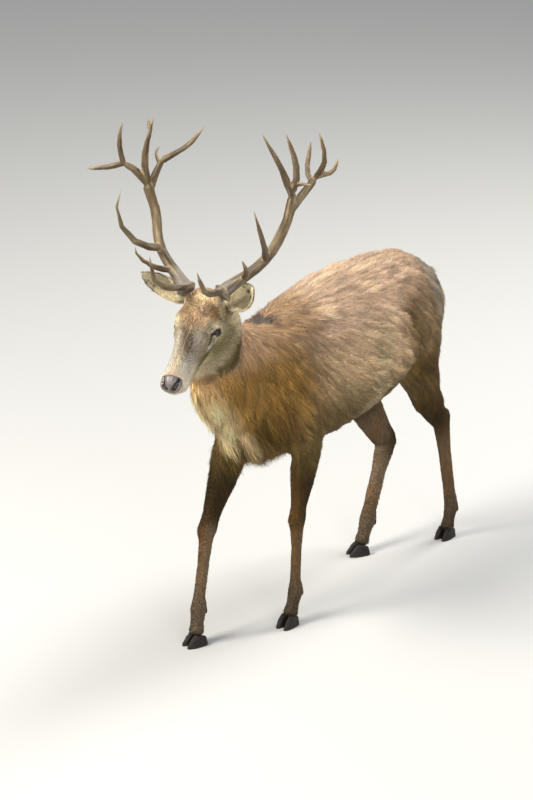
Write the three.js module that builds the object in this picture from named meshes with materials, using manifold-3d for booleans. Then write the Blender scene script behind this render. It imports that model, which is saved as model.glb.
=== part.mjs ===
// A red deer stag, Cervus elaphus, in mid stride with its head turned a little to its left: a life-size
// still model.
//
// Millimetres, +Z up. The stag faces -Y and its left side is +X. The floor is z = 0, and the origin lies
// on it under the middle of the stag's box. Every soft piece reaches out to the tips of the coat.
import * as THREE from "three";
import { mergeVertices } from "three/addons/utils/BufferGeometryUtils.js";
import Module from "manifold-3d";

const wasm = await Module();
wasm.setup();

// ---------------------------------------------------------------- driving sizes

const GAP = 0.3; // left between two pieces that touch
const MERGE_WITHIN = 1e-3; // vertices nearer than this are one
const SIDES = { left: 1, right: -1 }; // the sign of x on each side of the stag

// The head is modelled facing -Y about the point midway between its eyes, then carried to its place.
const EYES_AT = [78, -900, 1287];
const HEAD_TURN = THREE.MathUtils.degToRad(14); // to the stag's left
const HEAD_DROP = THREE.MathUtils.degToRad(27.5); // the face leans this far below level
const HEAD_TILT = THREE.MathUtils.degToRad(3.5); // the antlers lean this far to the stag's left
const EYE_OUT = 68; // from the head's middle plane to the centre of an eyeball
const EYE_RADIUS = 18;

// Stations along a body part: x, y and z of its path, then its reach sideways, over the path and under it.
const TRUNK = [
  [0, 655, 985, 40, 60, 60],
  [0, 622, 990, 98, 112, 105],
  [0, 560, 990, 142, 180, 145],
  [0, 460, 985, 176, 246, 185],
  [0, 330, 960, 206, 298, 208],
  [0, 180, 925, 236, 338, 213],
  [0, 20, 897, 244, 358, 220],
  [0, -140, 885, 230, 350, 228],
  [0, -280, 885, 196, 338, 235],
  [0, -400, 890, 170, 326, 240],
  [0, -510, 895, 158, 275, 225],
  [0, -600, 900, 112, 190, 170],
  [0, -660, 905, 45, 70, 60],
];
const NECK = [
  [0, -330, 985, 150, 190, 230],
  [4, -450, 1015, 155, 185, 270],
  [14, -560, 1065, 145, 155, 280],
  [34, -660, 1130, 126, 128, 260],
  [54, -740, 1210, 106, 105, 205],
  [68, -800, 1285, 92, 112, 140],
  [80, -850, 1330, 66, 82, 80],
];
const TAIL = [
  [0, 600, 1115, 22, 18, 18],
  [0, 640, 1095, 30, 22, 24],
  [0, 676, 1050, 32, 20, 26],
  [0, 690, 995, 27, 16, 22],
  [0, 690, 950, 8, 6, 6],
];

// Stations of the skull and of the lower jaw in the head's own frame.
const SKULL = [
  [0, 150, 10, 40, 45, 60],
  [0, 120, 8, 72, 78, 88],
  [0, 75, 4, 84, 86, 90],
  [0, 25, 0, 83, 76, 88],
  [0, -22, -4, 76, 64, 78],
  [0, -65, -8, 63, 57, 64],
  [0, -110, -12, 54, 51, 53],
  [0, -160, -15, 48, 47, 47],
  [0, -205, -18, 46, 45, 45],
  [0, -243, -20, 45, 43, 41],
  [0, -266, -23, 37, 33, 32],
  [0, -276, -25, 22, 20, 19],
];
const JAW = [
  [0, 108, -52, 30, 45, 44],
  [0, 75, -58, 66, 56, 56],
  [0, 22, -58, 68, 56, 54],
  [0, -40, -57, 50, 40, 46],
  [0, -100, -56, 42, 30, 42],
  [0, -165, -56, 40, 28, 43],
  [0, -215, -55, 38, 24, 41],
  [0, -249, -53, 26, 14, 21],
];

// On the left side; the right side mirrors them.
const BROW = { centre: [64, 8, 22], radii: [29, 40, 19] };
const NOSTRIL = { centre: [21, -268, -8], radii: [7, 14, 9] };
const STUMP = [
  [45, 78, 50],
  [62, 92, 88],
  [68, 97, 96],
];
const STUMP_RADIUS = 24;

// Planes that part one piece from the next, with normals towards the nose.
const NECK_PLANE = { normal: new THREE.Vector3(0, -0.85, 0.53), point: new THREE.Vector3(0, -430, 1180) };
const NOSE_PLANE = { normal: new THREE.Vector3(0, -1, 0.25), point: new THREE.Vector3(0, -246, -8) };

// An ear runs from root to tip and its hollow looks along `opens`; shares of its length with the reach
// sideways, and towards and away from the hollow.
const EARS = {
  left: { root: [82, 114, 6], tip: [184, 106, 142], opens: [-0.5, -0.8, 0.35] },
  right: { root: [-84, 104, 16], tip: [-214, 82, 146], opens: [0.1, -0.9, 0.1] },
};
const EAR = [
  [-0.1, 16, 14, 14],
  [0.08, 24, 18, 24],
  [0.28, 40, 14, 32],
  [0.5, 47, 8, 30],
  [0.72, 40, 5, 22],
  [0.9, 22, 3, 11],
  [1, 6, 2, 3],
];
const EAR_THICK = 5;
const EAR_HOLLOW_FROM = 0.1; // share of the length where the hollow starts
const EAR_HOLLOW_TO = 0.97;
const EAR_OPENING = 60; // the hollow's shape reaches this far out of the mouth of the ear

// Antlers in the head's frame. A tine is its path from the beam to its tip and its radius at the root; one
// that forks again has its radius at the fork as well.
const BURR_RADIUS = 37;
const BURR_THICK = 13;
const POINT = 2.5; // radius at the tip of a tine
const BEAM_RADII = [25, 21, 18.5, 17.5, 18, 19]; // spread evenly from the burr to the crown
const TINE_TAPER = 1.6; // power of the share of the way: a tine stays stout near the beam
const ABOVE_TREZ = 3; // the beam is parted halfway to the next point of its path after this one
const ANTLERS = {
  left: {
    beam: [
      [68, 80, 100],
      [100, 110, 125],
      [136, 138, 141],
      [204, 195, 191],
      [245, 269, 259],
      [269, 323, 340],
      [271, 346, 386],
    ],
    brow: [[[75, 86, 119], [73, 16, 172], [74, -37, 227], [66, -55, 355]], 15],
    bez: [[[136, 138, 141], [170, 98, 214], [186, 49, 326]], 11],
    trez: [[[204, 195, 191], [239, 124, 333], [237, 111, 418], [215, 133, 500]], 14],
    crown_front: [
      [[[269, 336, 365], [238, 349, 466], [202, 347, 579], [187, 342, 634]], 14],
      [[[271, 346, 384], [287, 356, 436], [278, 377, 515], [247, 395, 604]], 14],
      [[[279, 348, 404], [316, 338, 427], [359, 319, 446]], 8],
    ],
    crown_rear: [
      [[[267, 312, 324], [284, 363, 336], [317, 408, 374], [332, 424, 396]], 17, 11],
      [[[315, 409, 372], [286, 444, 386], [285, 473, 413], [290, 505, 477]], 11],
      [[[327, 420, 386], [360, 423, 446], [364, 433, 500], [340, 458, 572]], 12],
      [[[338, 421, 393], [391, 415, 428], [416, 429, 488]], 10],
    ],
  },
  right: {
    beam: [
      [-53, 84, 87],
      [-89, 114, 106],
      [-123, 145, 112],
      [-191, 207, 148],
      [-236, 303, 227],
      [-262, 335, 293],
      [-272, 352, 329],
    ],
    brow: [[[-61, 91, 106], [-82, 23, 159], [-109, -23, 222], [-112, -22, 363]], 15],
    bez: [[[-123, 145, 112], [-169, 103, 159], [-210, 72, 233], [-211, 70, 293]], 12],
    trez: [[[-191, 207, 148], [-225, 115, 251], [-279, 110, 371], [-264, 161, 464]], 14],
    crown_front: [
      [[[-267, 344, 309], [-306, 341, 368], [-354, 343, 388]], 15, 10],
      [[[-343, 342, 383], [-358, 365, 434], [-356, 385, 482], [-343, 403, 537]], 11],
      [[[-348, 342, 386], [-393, 330, 373], [-440, 322, 363], [-484, 314, 362]], 11],
      [[[-268, 347, 317], [-272, 365, 396], [-256, 378, 472], [-224, 410, 573]], 15],
      [[[-246, 393, 509], [-253, 407, 528], [-254, 419, 545]], 7],
    ],
    crown_rear: [
      [[[-261, 329, 278], [-259, 387, 304], [-250, 438, 326], [-234, 454, 337]], 16, 10],
      [[[-244, 445, 329], [-203, 472, 347], [-156, 510, 373], [-115, 556, 420]], 12],
      [[[-254, 431, 321], [-279, 466, 338], [-268, 489, 354]], 9],
    ],
  },
};

// Joints of each limb, and how far its toes turn from straight ahead to the animal's left, in radians.
// The hoof point lies on the floor under the middle of the two claws.
const FORE_LIMBS = {
  left: {
    blade: [110, -345, 1110],
    shoulder: [138, -400, 900],
    elbow: [124, -330, 720],
    knee: [100, -343, 410],
    fetlock: [92, -342, 128],
    hoof: [90, -385, 0],
    turn: 0,
  },
  right: {
    blade: [-110, -355, 1110],
    shoulder: [-138, -430, 900],
    elbow: [-122, -455, 725],
    knee: [-92, -632, 418],
    fetlock: [-92, -690, 136],
    hoof: [-84, -716, 0],
    turn: -0.34,
  },
};
const HIND_LIMBS = {
  left: {
    croup: [80, 430, 1120],
    hip: [112, 440, 980],
    thigh: [121, 420, 812],
    gaskin: [120, 484, 660],
    hock: [108, 604, 510],
    fetlock: [108, 690, 125],
    hoof: [100, 665, 0],
    turn: 0,
  },
  right: {
    croup: [-80, 430, 1120],
    hip: [-112, 430, 980],
    thigh: [-121, 402, 802],
    gaskin: [-118, 396, 620],
    hock: [-101, 530, 398],
    fetlock: [-86, 388, 125],
    hoof: [-80, 324, 0],
    turn: -0.55,
  },
};

// Sections of a limb: between which joints, at what share of the way, then the reach sideways, in front
// and behind.
const FORE_SECTIONS = [
  ["blade", "shoulder", 0, 22, 40, 50],
  ["blade", "shoulder", 0.5, 52, 85, 95],
  ["shoulder", "elbow", 0, 64, 105, 112],
  ["shoulder", "elbow", 0.55, 62, 88, 98],
  ["elbow", "knee", 0, 54, 62, 102],
  ["elbow", "knee", 0.25, 46, 48, 96],
  ["elbow", "knee", 0.55, 38, 39, 70],
  ["elbow", "knee", 0.82, 29, 32, 43],
  ["knee", "fetlock", 0, 31, 36, 38],
  ["knee", "fetlock", 0.14, 25, 28, 30],
  ["knee", "fetlock", 0.4, 20, 22, 28],
  ["knee", "fetlock", 0.82, 20, 23, 28],
  ["fetlock", "hoof", 0, 27, 28, 38],
  ["fetlock", "hoof", 0.35, 24, 25, 30],
  ["fetlock", "hoof", 0.62, 28, 29, 31],
  ["fetlock", "hoof", 0.98, 28, 29, 28],
];
const HIND_SECTIONS = [
  ["croup", "hip", 0, 40, 80, 90],
  ["hip", "thigh", 0, 78, 130, 92],
  ["hip", "thigh", 0.5, 78, 150, 90],
  ["thigh", "gaskin", 0, 75, 150, 86],
  ["thigh", "gaskin", 0.5, 64, 110, 80],
  ["gaskin", "hock", 0, 50, 88, 68],
  ["gaskin", "hock", 0.45, 38, 68, 58],
  ["gaskin", "hock", 0.85, 31, 50, 54],
  ["hock", "fetlock", 0, 30, 46, 54],
  ["hock", "fetlock", 0.12, 27, 39, 46],
  ["hock", "fetlock", 0.35, 23, 30, 34],
  ["hock", "fetlock", 0.82, 22, 28, 34],
  ["fetlock", "hoof", 0, 27, 31, 38],
  ["fetlock", "hoof", 0.35, 24, 26, 29],
  ["fetlock", "hoof", 0.62, 28, 29, 30],
  ["fetlock", "hoof", 0.98, 28, 29, 28],
];
const CANNON_FROM = 0.16; // share of the way from knee or hock to fetlock
const CANNON_TO = 0.84;

const CORONET_HEIGHT = 44; // of the hoof's upper edge at the middle of the foot
const CORONET_SLOPE = 0.3; // it drops this much towards the heel
const CLAW_APART = 17; // middle of the foot to the middle of one claw
const CLAW = [
  [0, 44, 0, 6, 22, 6],
  [0, 32, 0, 13, 42, 8],
  [0, 2, 0, 15.5, 62, 8],
  [0, -24, 0, 13.5, 38, 8],
  [0, -40, 0, 8, 14, 6],
  [0, -46, 0, 3, 5, 4],
];
const DEWCLAW = { offset: [16, 37, -14], radii: [10, 11, 17] }; // from the fetlock

// ---------------------------------------------------------------- colours

const surface = (color, roughness) => new THREE.MeshStandardMaterial({ color, roughness, metalness: 0 });
const coat = (color) => surface(color, 0.95);
const BODY_COAT = coat(0x9a6f4e);
const MANE_COAT = coat(0x8d6a42);
const FACE_COAT = coat(0x94806a);
const LEG_COAT = coat(0x6a4b37);
const RUMP_COAT = coat(0xc9ab82);
const EAR_COAT = coat(0xa98b68);
const ANTLER = surface(0x7a6149, 0.6);
const HOOF = surface(0x1d1a18, 0.5);
const NOSE = surface(0x26201f, 0.3);
const EYE = surface(0x120b07, 0.05);

// ---------------------------------------------------------------- making closed bodies

const vector = (numbers) => new THREE.Vector3(...numbers);
const mirrored = ([x, y, z], side) => [x * side, y, z];

/** The manifold solid of a closed geometry. */
function solid(geometry) {
  const plain = new THREE.BufferGeometry();
  plain.setAttribute("position", geometry.getAttribute("position"));
  plain.setIndex(geometry.index);
  const merged = mergeVertices(plain, MERGE_WITHIN);
  return new wasm.Manifold(
    new wasm.Mesh({
      numProp: 3,
      vertProperties: merged.getAttribute("position").array,
      triVerts: new Uint32Array(merged.index.array),
    }),
  );
}

/** A closed body along a path: a sphere's rows of vertices become its sections and the poles its ends. */
function wrap(sections, sides, grow) {
  const rings = sections.length - 1;
  const geometry = new THREE.SphereGeometry(1, sides, rings);
  const position = geometry.getAttribute("position");
  const point = new THREE.Vector3();
  for (let i = 0; i < position.count; i++) {
    point.fromBufferAttribute(position, i);
    const row = Math.round((Math.acos(THREE.MathUtils.clamp(point.y, -1, 1)) / Math.PI) * rings);
    const { centre, along, aside, above, wide, over, under } = sections[row];
    const angle = Math.atan2(point.z, point.x);
    const out = (wide + grow) * Math.cos(angle);
    const up = ((Math.sin(angle) > 0 ? over : under) + grow) * Math.sin(angle);
    point.copy(centre);
    if (row === 0) {
      point.addScaledVector(along, -grow);
    } else if (row === rings) {
      point.addScaledVector(along, grow);
    } else {
      point.addScaledVector(aside, out).addScaledVector(above, up);
    }
    position.setXYZ(i, point.x, point.y, point.z);
  }
  return solid(geometry);
}

/** A body through stations; `aside` is the sideways direction, made square to the path at each section. */
function loft(stations, { sides, each = 2, aside = new THREE.Vector3(1, 0, 0), grow = 0 }) {
  const path = new THREE.CatmullRomCurve3(stations.map((s) => new THREE.Vector3(s[0], s[1], s[2])));
  const reach = new THREE.CatmullRomCurve3(stations.map((s) => new THREE.Vector3(s[3], s[4], s[5])));
  const rings = each * (stations.length - 1);
  const sections = [];
  for (let row = 0; row <= rings; row++) {
    const t = row / rings;
    const along = path.getTangent(t);
    const square = aside.clone().addScaledVector(along, -aside.dot(along)).normalize();
    const above = along.clone().cross(square);
    const [wide, over, under] = reach.getPoint(t).toArray();
    sections.push({ centre: path.getPoint(t), along, aside: square, above, wide, over, under });
  }
  return wrap(sections, sides, grow);
}

/** A round horn along a path, cut square at its root; its radius is a function of the share of the way. */
function horn(points, radiusAt, { sides, steps, grow = 0 }) {
  const path = new THREE.CatmullRomCurve3(points.map(vector));
  const { tangents, normals, binormals } = path.computeFrenetFrames(steps);
  const sections = tangents.map((along, step) => {
    const radius = radiusAt(step / steps);
    return {
      centre: path.getPointAt(step / steps),
      along,
      aside: normals[step],
      above: binormals[step],
      wide: radius,
      over: radius,
      under: radius,
    };
  });
  return wrap([sections[0], ...sections], sides, grow);
}

/** An ellipsoid of the given half sizes. */
function ellipsoid(centre, radii, { sides, rings }) {
  const geometry = new THREE.SphereGeometry(1, sides, rings);
  geometry.scale(...radii);
  geometry.translate(...centre);
  return solid(geometry);
}

/** What lies on the side of a plane that its normal points to, half a gap clear of it. */
function beyond(body, normal, point) {
  const unit = normal.clone().normalize();
  return body.trimByPlane(unit.toArray(), unit.dot(point) + GAP / 2);
}

const inFrontOf = (body, plane) => beyond(body, plane.normal, plane.point);
const behind = (body, plane) => beyond(body, plane.normal.clone().negate(), plane.point);

/** The biggest of the bodies that a cut left. */
function biggest(body) {
  return body.decompose().reduce((a, b) => (a.volume() > b.volume() ? a : b));
}

function mesh(name, body, material) {
  const { vertProperties, triVerts } = body.getMesh();
  const geometry = new THREE.BufferGeometry();
  geometry.setAttribute("position", new THREE.BufferAttribute(vertProperties, 3));
  geometry.setIndex(new THREE.BufferAttribute(triVerts, 1));
  geometry.computeVertexNormals();
  const made = new THREE.Mesh(geometry, material);
  made.name = name;
  return made;
}

// ---------------------------------------------------------------- head, neck and trunk

const head = new THREE.Group();
head.position.set(...EYES_AT);
head.rotation.set(HEAD_DROP, HEAD_TILT, HEAD_TURN, "ZXY");
head.updateMatrix();
const intoHead = head.matrix.clone().invert().toArray();

/** Skull, lower jaw, brows and the stumps that carry the antlers, as one body in the head's frame. */
function headBody(grow) {
  const parts = [loft(SKULL, { sides: 14, grow }), loft(JAW, { sides: 10, each: 1, grow })];
  for (const side of Object.values(SIDES)) {
    const browRadii = BROW.radii.map((radius) => radius + grow);
    parts.push(ellipsoid(mirrored(BROW.centre, side), browRadii, { sides: 8, rings: 6 }));
    const stump = STUMP.map((point) => mirrored(point, side));
    parts.push(horn(stump, () => STUMP_RADIUS, { sides: 8, steps: 2, grow }));
  }
  return parts.reduce((a, b) => a.add(b));
}

const trunkBody = (grow) => loft(TRUNK, { sides: 20, grow });
const neckBody = (grow) => loft(NECK, { sides: 14, grow });

const stag = new THREE.Group();
stag.add(head);

const torso = trunkBody(0).add(neckBody(0));
const grownTorso = trunkBody(GAP).add(neckBody(GAP));
const grownHead = headBody(GAP);
const grownNeck = neckBody(GAP).transform(intoHead);

// The neck starts at a plane from the withers down to the breast, and fits round the back of the head.
const neck = inFrontOf(torso, NECK_PLANE).subtract(grownHead.transform(head.matrix.toArray()));
stag.add(mesh("trunk", behind(torso, NECK_PLANE), BODY_COAT));
stag.add(mesh("neck", biggest(neck), MANE_COAT));
stag.add(mesh("tail", biggest(loft(TAIL, { sides: 10, each: 1 }).subtract(trunkBody(GAP))), RUMP_COAT));

const eyeball = (side, radius) =>
  ellipsoid([EYE_OUT * side, 0, 0], [radius, radius, radius], { sides: 12, rings: 7 });
const nostril = (side) =>
  ellipsoid(mirrored(NOSTRIL.centre, side), NOSTRIL.radii, { sides: 6, rings: 4 });

const whole = headBody(0);
const sockets = eyeball(1, EYE_RADIUS + GAP).add(eyeball(-1, EYE_RADIUS + GAP));
const nostrils = nostril(1).add(nostril(-1));
head.add(mesh("head", behind(whole, NOSE_PLANE).subtract(sockets), FACE_COAT));
head.add(mesh("nose_pad", inFrontOf(whole, NOSE_PLANE).subtract(nostrils), NOSE));

// ---------------------------------------------------------------- ears and eyes

/** A leaf-shaped cup: the outer shell less the same shell moved in by its thickness and opened in front. */
function earBody({ root, tip, opens }) {
  const along = vector(tip).sub(vector(root));
  const opening = vector(opens);
  const aside = opening.cross(along).normalize();
  const station = ([share, wide, over, under]) => {
    const at = vector(root).addScaledVector(along, share);
    return [...at.toArray(), wide, over, under];
  };
  const hollow = EAR.map(([share, wide, , under]) => {
    const moved = THREE.MathUtils.mapLinear(share, EAR[0][0], 1, EAR_HOLLOW_FROM, EAR_HOLLOW_TO);
    const inside = (reach) => Math.max(reach - EAR_THICK, 1);
    return station([moved, inside(wide), EAR_OPENING, inside(under)]);
  });
  const shell = loft(EAR.map(station), { sides: 12, each: 1, aside });
  return shell.subtract(loft(hollow, { sides: 10, each: 1, aside }));
}

for (const [side, sign] of Object.entries(SIDES)) {
  const antler = beamBody(side, GAP).add(burrBody(ANTLERS[side].beam, GAP));
  const ear = earBody(EARS[side]).subtract(grownHead).subtract(grownNeck).subtract(antler);
  head.add(mesh("ear_" + side, biggest(ear), EAR_COAT));
  head.add(mesh("eye_" + side, eyeball(sign, EYE_RADIUS), EYE));
}

// ---------------------------------------------------------------- antlers

/** A tine swells slowly from its tip to its root; one that forks again stays as stout as its `end`. */
function tine([points, radius, end = POINT], grow = 0) {
  return horn(points, (t) => end + (radius - end) * (1 - t ** TINE_TAPER), { sides: 6, steps: 5, grow });
}

/** The beam of one antler, from inside the stump to the crown. */
function beamBody(side, grow) {
  const radii = new THREE.SplineCurve(BEAM_RADII.map((radius, i) => new THREE.Vector2(i, radius)));
  return horn(ANTLERS[side].beam, (t) => radii.getPoint(t).y, { sides: 8, steps: 12, grow });
}

/** The rough ring round the foot of a beam. */
function burrBody(path, grow) {
  const start = vector(path[0]);
  const direction = vector(path[1]).sub(start).normalize();
  const disc = new THREE.SphereGeometry(1, 10, 4);
  disc.scale(BURR_RADIUS + grow, BURR_THICK + grow, BURR_RADIUS + grow);
  disc.applyQuaternion(new THREE.Quaternion().setFromUnitVectors(new THREE.Vector3(0, 1, 0), direction));
  disc.translate(...start.addScaledVector(direction, BURR_THICK).toArray());
  return solid(disc);
}

/** One antler: a beam parted at the trez and at the crown, its three lower tines and two branches. */
function addAntler(side) {
  const { beam: path, brow, bez, trez, crown_front: front, crown_rear: rear } = ANTLERS[side];
  const beam = beamBody(side, 0).add(burrBody(path, 0)).subtract(grownHead);
  const thick = beamBody(side, GAP).add(burrBody(path, GAP));
  const middleOf = (i) => vector(path[i]).lerp(vector(path[i + 1]), 0.5);
  const alongAt = (i) => vector(path[i + 1]).sub(vector(path[i]));
  const up = (body, i) => beyond(body, alongAt(i), middleOf(i));
  const down = (body, i) => beyond(body, alongAt(i).negate(), middleOf(i));
  const branch = (tines, grow) => tines.map((shape) => tine(shape, grow)).reduce((a, b) => a.add(b));
  const add = (name, body) => {
    head.add(mesh("antler_" + side + "_" + name, biggest(body), ANTLER));
  };

  const belowCrown = path.length - 3;
  add("beam_lower", down(beam, ABOVE_TREZ));
  add("beam_upper", down(up(beam, ABOVE_TREZ), belowCrown));
  for (const [name, shape] of Object.entries({ brow, bez, trez })) {
    add(name, tine(shape).subtract(thick));
  }
  const stem = (grow) => beyond(beamBody(side, grow), alongAt(belowCrown), middleOf(belowCrown));
  add("crown_front", up(branch(front, 0), belowCrown).add(stem(0)));
  add("crown_rear", branch(rear, 0).subtract(thick).subtract(branch(front, GAP)));
}

Object.keys(SIDES).forEach(addAntler);

// ---------------------------------------------------------------- limbs

/** The sections of a limb as stations in space. */
function stationsOf(joints, sections) {
  return sections.map(([from, to, share, ...reach]) => {
    const at = vector(joints[from]).lerp(vector(joints[to]), share);
    return [...at.toArray(), ...reach];
  });
}

/** Upper leg, cannon and foot of one limb, its two claws and its two dewclaws. */
function addLimb(name, joints, sections, bend) {
  const stations = stationsOf(joints, sections);
  const turned = (direction) => vector(direction).applyAxisAngle(new THREE.Vector3(0, 0, 1), joints.turn);
  const aside = turned([1, 0, 0]);
  const limb = loft(stations, { sides: 10, each: 1, aside });
  const between = (share) => vector(joints[bend]).lerp(vector(joints.fetlock), share);
  const down = vector(joints.fetlock).sub(vector(joints[bend]));
  const up = down.clone().negate();
  const coronet = vector(joints.hoof).add(new THREE.Vector3(0, 0, CORONET_HEIGHT));
  const uphill = turned([0, CORONET_SLOPE, 1]);
  const add = (part, body, material) => {
    stag.add(mesh("leg_" + name + "_" + part, biggest(body), material));
  };

  add("upper", beyond(limb, up, between(CANNON_FROM)).subtract(grownTorso), BODY_COAT);
  add("cannon", beyond(beyond(limb, down, between(CANNON_FROM)), up, between(CANNON_TO)), LEG_COAT);
  add("foot", beyond(beyond(limb, down, between(CANNON_TO)), uphill, coronet), LEG_COAT);

  const grown = loft(stations, { sides: 10, each: 1, aside, grow: GAP });
  for (const [claw, sign] of Object.entries({ outer: 1, inner: -1 })) {
    const out = sign * Math.sign(joints.hoof[0]);
    const middle = vector(joints.hoof).addScaledVector(aside, out * CLAW_APART);
    const hoof = loft(CLAW, { sides: 8, each: 1 }).rotate([0, 0, THREE.MathUtils.radToDeg(joints.turn)]);
    const sole = hoof.translate(middle.toArray()).trimByPlane([0, 0, 1], 0);
    add("hoof_" + claw, beyond(sole, uphill.clone().negate(), coronet), HOOF);
    const centre = vector(joints.fetlock).add(turned(mirrored(DEWCLAW.offset, out)));
    const dewclaw = ellipsoid(centre.toArray(), DEWCLAW.radii, { sides: 6, rings: 3 });
    add("dewclaw_" + claw, dewclaw.subtract(grown), HOOF);
  }
}

for (const side of Object.keys(SIDES)) {
  addLimb("fore_" + side, FORE_LIMBS[side], FORE_SECTIONS, "knee");
  addLimb("hind_" + side, HIND_LIMBS[side], HIND_SECTIONS, "hock");
}

// ---------------------------------------------------------------- the whole animal

const box = new THREE.Box3().setFromObject(stag, true);
const middle = box.getCenter(new THREE.Vector3());
stag.position.set(-middle.x, -middle.y, 0);

const stillModel = new THREE.Group();
stillModel.add(stag);
export default stillModel;
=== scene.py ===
import bmesh
import bpy
import numpy as np
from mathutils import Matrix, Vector


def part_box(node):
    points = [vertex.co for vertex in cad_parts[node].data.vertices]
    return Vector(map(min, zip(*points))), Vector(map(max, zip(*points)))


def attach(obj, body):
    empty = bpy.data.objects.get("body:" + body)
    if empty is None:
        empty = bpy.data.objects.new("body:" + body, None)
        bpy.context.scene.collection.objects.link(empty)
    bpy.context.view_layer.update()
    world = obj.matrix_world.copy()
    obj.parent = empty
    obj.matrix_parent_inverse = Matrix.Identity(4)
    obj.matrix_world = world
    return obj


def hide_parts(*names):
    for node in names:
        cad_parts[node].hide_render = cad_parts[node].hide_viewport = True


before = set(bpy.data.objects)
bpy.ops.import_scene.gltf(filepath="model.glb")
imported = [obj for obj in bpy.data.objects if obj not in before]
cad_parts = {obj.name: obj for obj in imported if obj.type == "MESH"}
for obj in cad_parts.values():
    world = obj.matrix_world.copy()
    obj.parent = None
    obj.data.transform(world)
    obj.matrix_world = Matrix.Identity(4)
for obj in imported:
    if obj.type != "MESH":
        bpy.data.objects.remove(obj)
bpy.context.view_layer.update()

# A red deer stag in mid stride, metres, +Z up. It faces -Y and its left side is +X.
# One skin covers the flesh; the coat is made of closed tufts that lie along it.

random = np.random.default_rng(7)

# ---------------------------------------------------------------- sizes

SKIN_GRID = 0.0078  # the skin's mesh; the head is twice as fine, the eyes and mouth four times
EAR_GRID = 0.0024
ANTLER_GRID = 0.0027
CORE_PASSES = 240  # of evening out that shrink an antler's surface to its core
WAY_PASSES = 25  # of evening out that give the direction of the horn
GROOVE_PASSES = 26
NOSE_GRID = 0.0016
HOOF_GRID = 0.0018
GROWTH_RING = 0.005  # from one ring of a hoof to the next

HEAD_TURN = np.radians(14)  # to the stag's left
HEAD_DROP = np.radians(27.5)
HEAD_TILT = np.radians(3.5)
SIDES = {"left": 1, "right": -1}
LIMBS = ("fore_left", "fore_right", "hind_left", "hind_right")
FORE = ("fore_left", "fore_right")
CANNON_SHARE = 0.68  # of the way from knee or hock to fetlock that a cannon node covers

CAMERA_AZIMUTH = np.radians(36)
CAMERA_ELEVATION = np.radians(20)
CAMERA_AWAY = 11.0
CAMERA_LENS = 132.75
CAMERA_TARGET = (-0.273, 0.1313, 0.72)
LIGHTS_AIM = (0, 0, 0.8)
LIGHTS = {  # place, width, power and colour
    "key": ((-2.6, -5.0, 6.0), 3.0, 680, (1.0, 0.95, 0.87)),
    "fill": ((5.5, -4.5, 3.0), 4.0, 200, (1.0, 0.98, 0.95)),
    "rim": ((1.0, 5.0, 6.0), 3.0, 420, (1.0, 0.98, 0.94)),
}
SKY_COLOUR = (0.93, 0.96, 1.0, 1)
SKY_STRENGTH = 0.42
FLOOR_COLOUR = (0.6, 0.6, 0.585, 1)
FLOOR_HALF = 40.0

# Length, width and lift of a short tuft on each part; the lift is the angle from the skin in radians.
BODY_TUFT = (0.03, 0.0042, 0.1)
LEG_TUFT = (0.0165, 0.0031, 0.14)
FACE_TUFT = (0.0105, 0.0021, 0.17)
THROAT_TUFT = (0.02, 0.0032)
EAR_HAIR = 0.008  # length on the back of an ear
EAR_CUP_HAIR = 0.006  # added to that in the cup
# Tufts and long locks to the square metre.
BODY_NUMBER = 66000
LEG_NUMBER = 112000
FACE_NUMBER = 265000
EAR_NUMBER = 290000.0
MANE_NUMBER = 62000
# A long lock: its length, what is added to that low down and in front, its width and how much less it is in
# front, the sections along it and how much its tip bends to the ground.
LOCK_LENGTH = 0.06
LOCK_LOW_LENGTH = 0.03
LOCK_FRONT_LENGTH = 0.02
LOCK_WIDTH = 0.0037
LOCK_FRONT_THINNER = 0.0014
LOCK_LEVELS = 3
LOCK_DROOP = 0.4
STREAK_PASSES = 15  # of drawing out that gather the hair into streaks
CURL_PASSES = 14  # of evening out that gather the forehead's hair into curls
# The skin's painted shade under the coat: its brightness as a share of the hair's.
SKIN_PAINTED_SHADE = 0.72  # of the hair's brightness
PATCH = 0.003  # width of a tuft on its piece's map
MAP_RIM = 0.006  # kept free on two sides of the map, and twice as much on the others

# ---------------------------------------------------------------- places and fall-offs


def box_of(node):
    """A node's lowest and highest corners."""
    return np.array(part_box(node))


def inside(node, x, y, z):
    """The point at these shares of a node's box, counted from its lowest corner."""
    low, high = box_of(node)
    return low + (high - low) * (x, y, z)


def centre(node):
    """The middle of a node's box."""
    return inside(node, 0.5, 0.5, 0.5)


def unit(vectors):
    """Vectors divided by their lengths."""
    vectors = np.asarray(vectors, float)
    return vectors / np.maximum(np.linalg.norm(vectors, axis=-1, keepdims=True), 1e-12)


def lengths(vectors):
    """The length of each vector."""
    return np.linalg.norm(vectors, axis=1)


def flattened(ways, normals):
    """Ways without their part along the normals."""
    return ways - normals * np.sum(ways * normals, 1, keepdims=True)


def mixed(first, second, share):
    """The first where the share is 0 and the second where it is 1."""
    return first + (second - first) * share


def ramp(values, start, end):
    """0 before start and 1 after end, with 3t^2 - 2t^3 between them."""
    t = np.clip((values - start) / (end - start), 0, 1)
    return t * t * (3 - 2 * t)


def near(points, place, radius):
    """exp(-(distance to a place / radius)^2)."""
    return np.exp(-((lengths(points - place) / radius) ** 2))


def along(points, start, end, radius):
    """exp(-(distance to the line from start to end / radius)^2), or to start alone if there is no end."""
    if end is None:
        return near(points, start, radius)
    start, end = np.asarray(start, float), np.asarray(end, float)
    way = end - start
    share = np.clip((points - start) @ way / (way @ way), 0, 1)
    return near(points - share[:, None] * way, start, radius)


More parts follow.
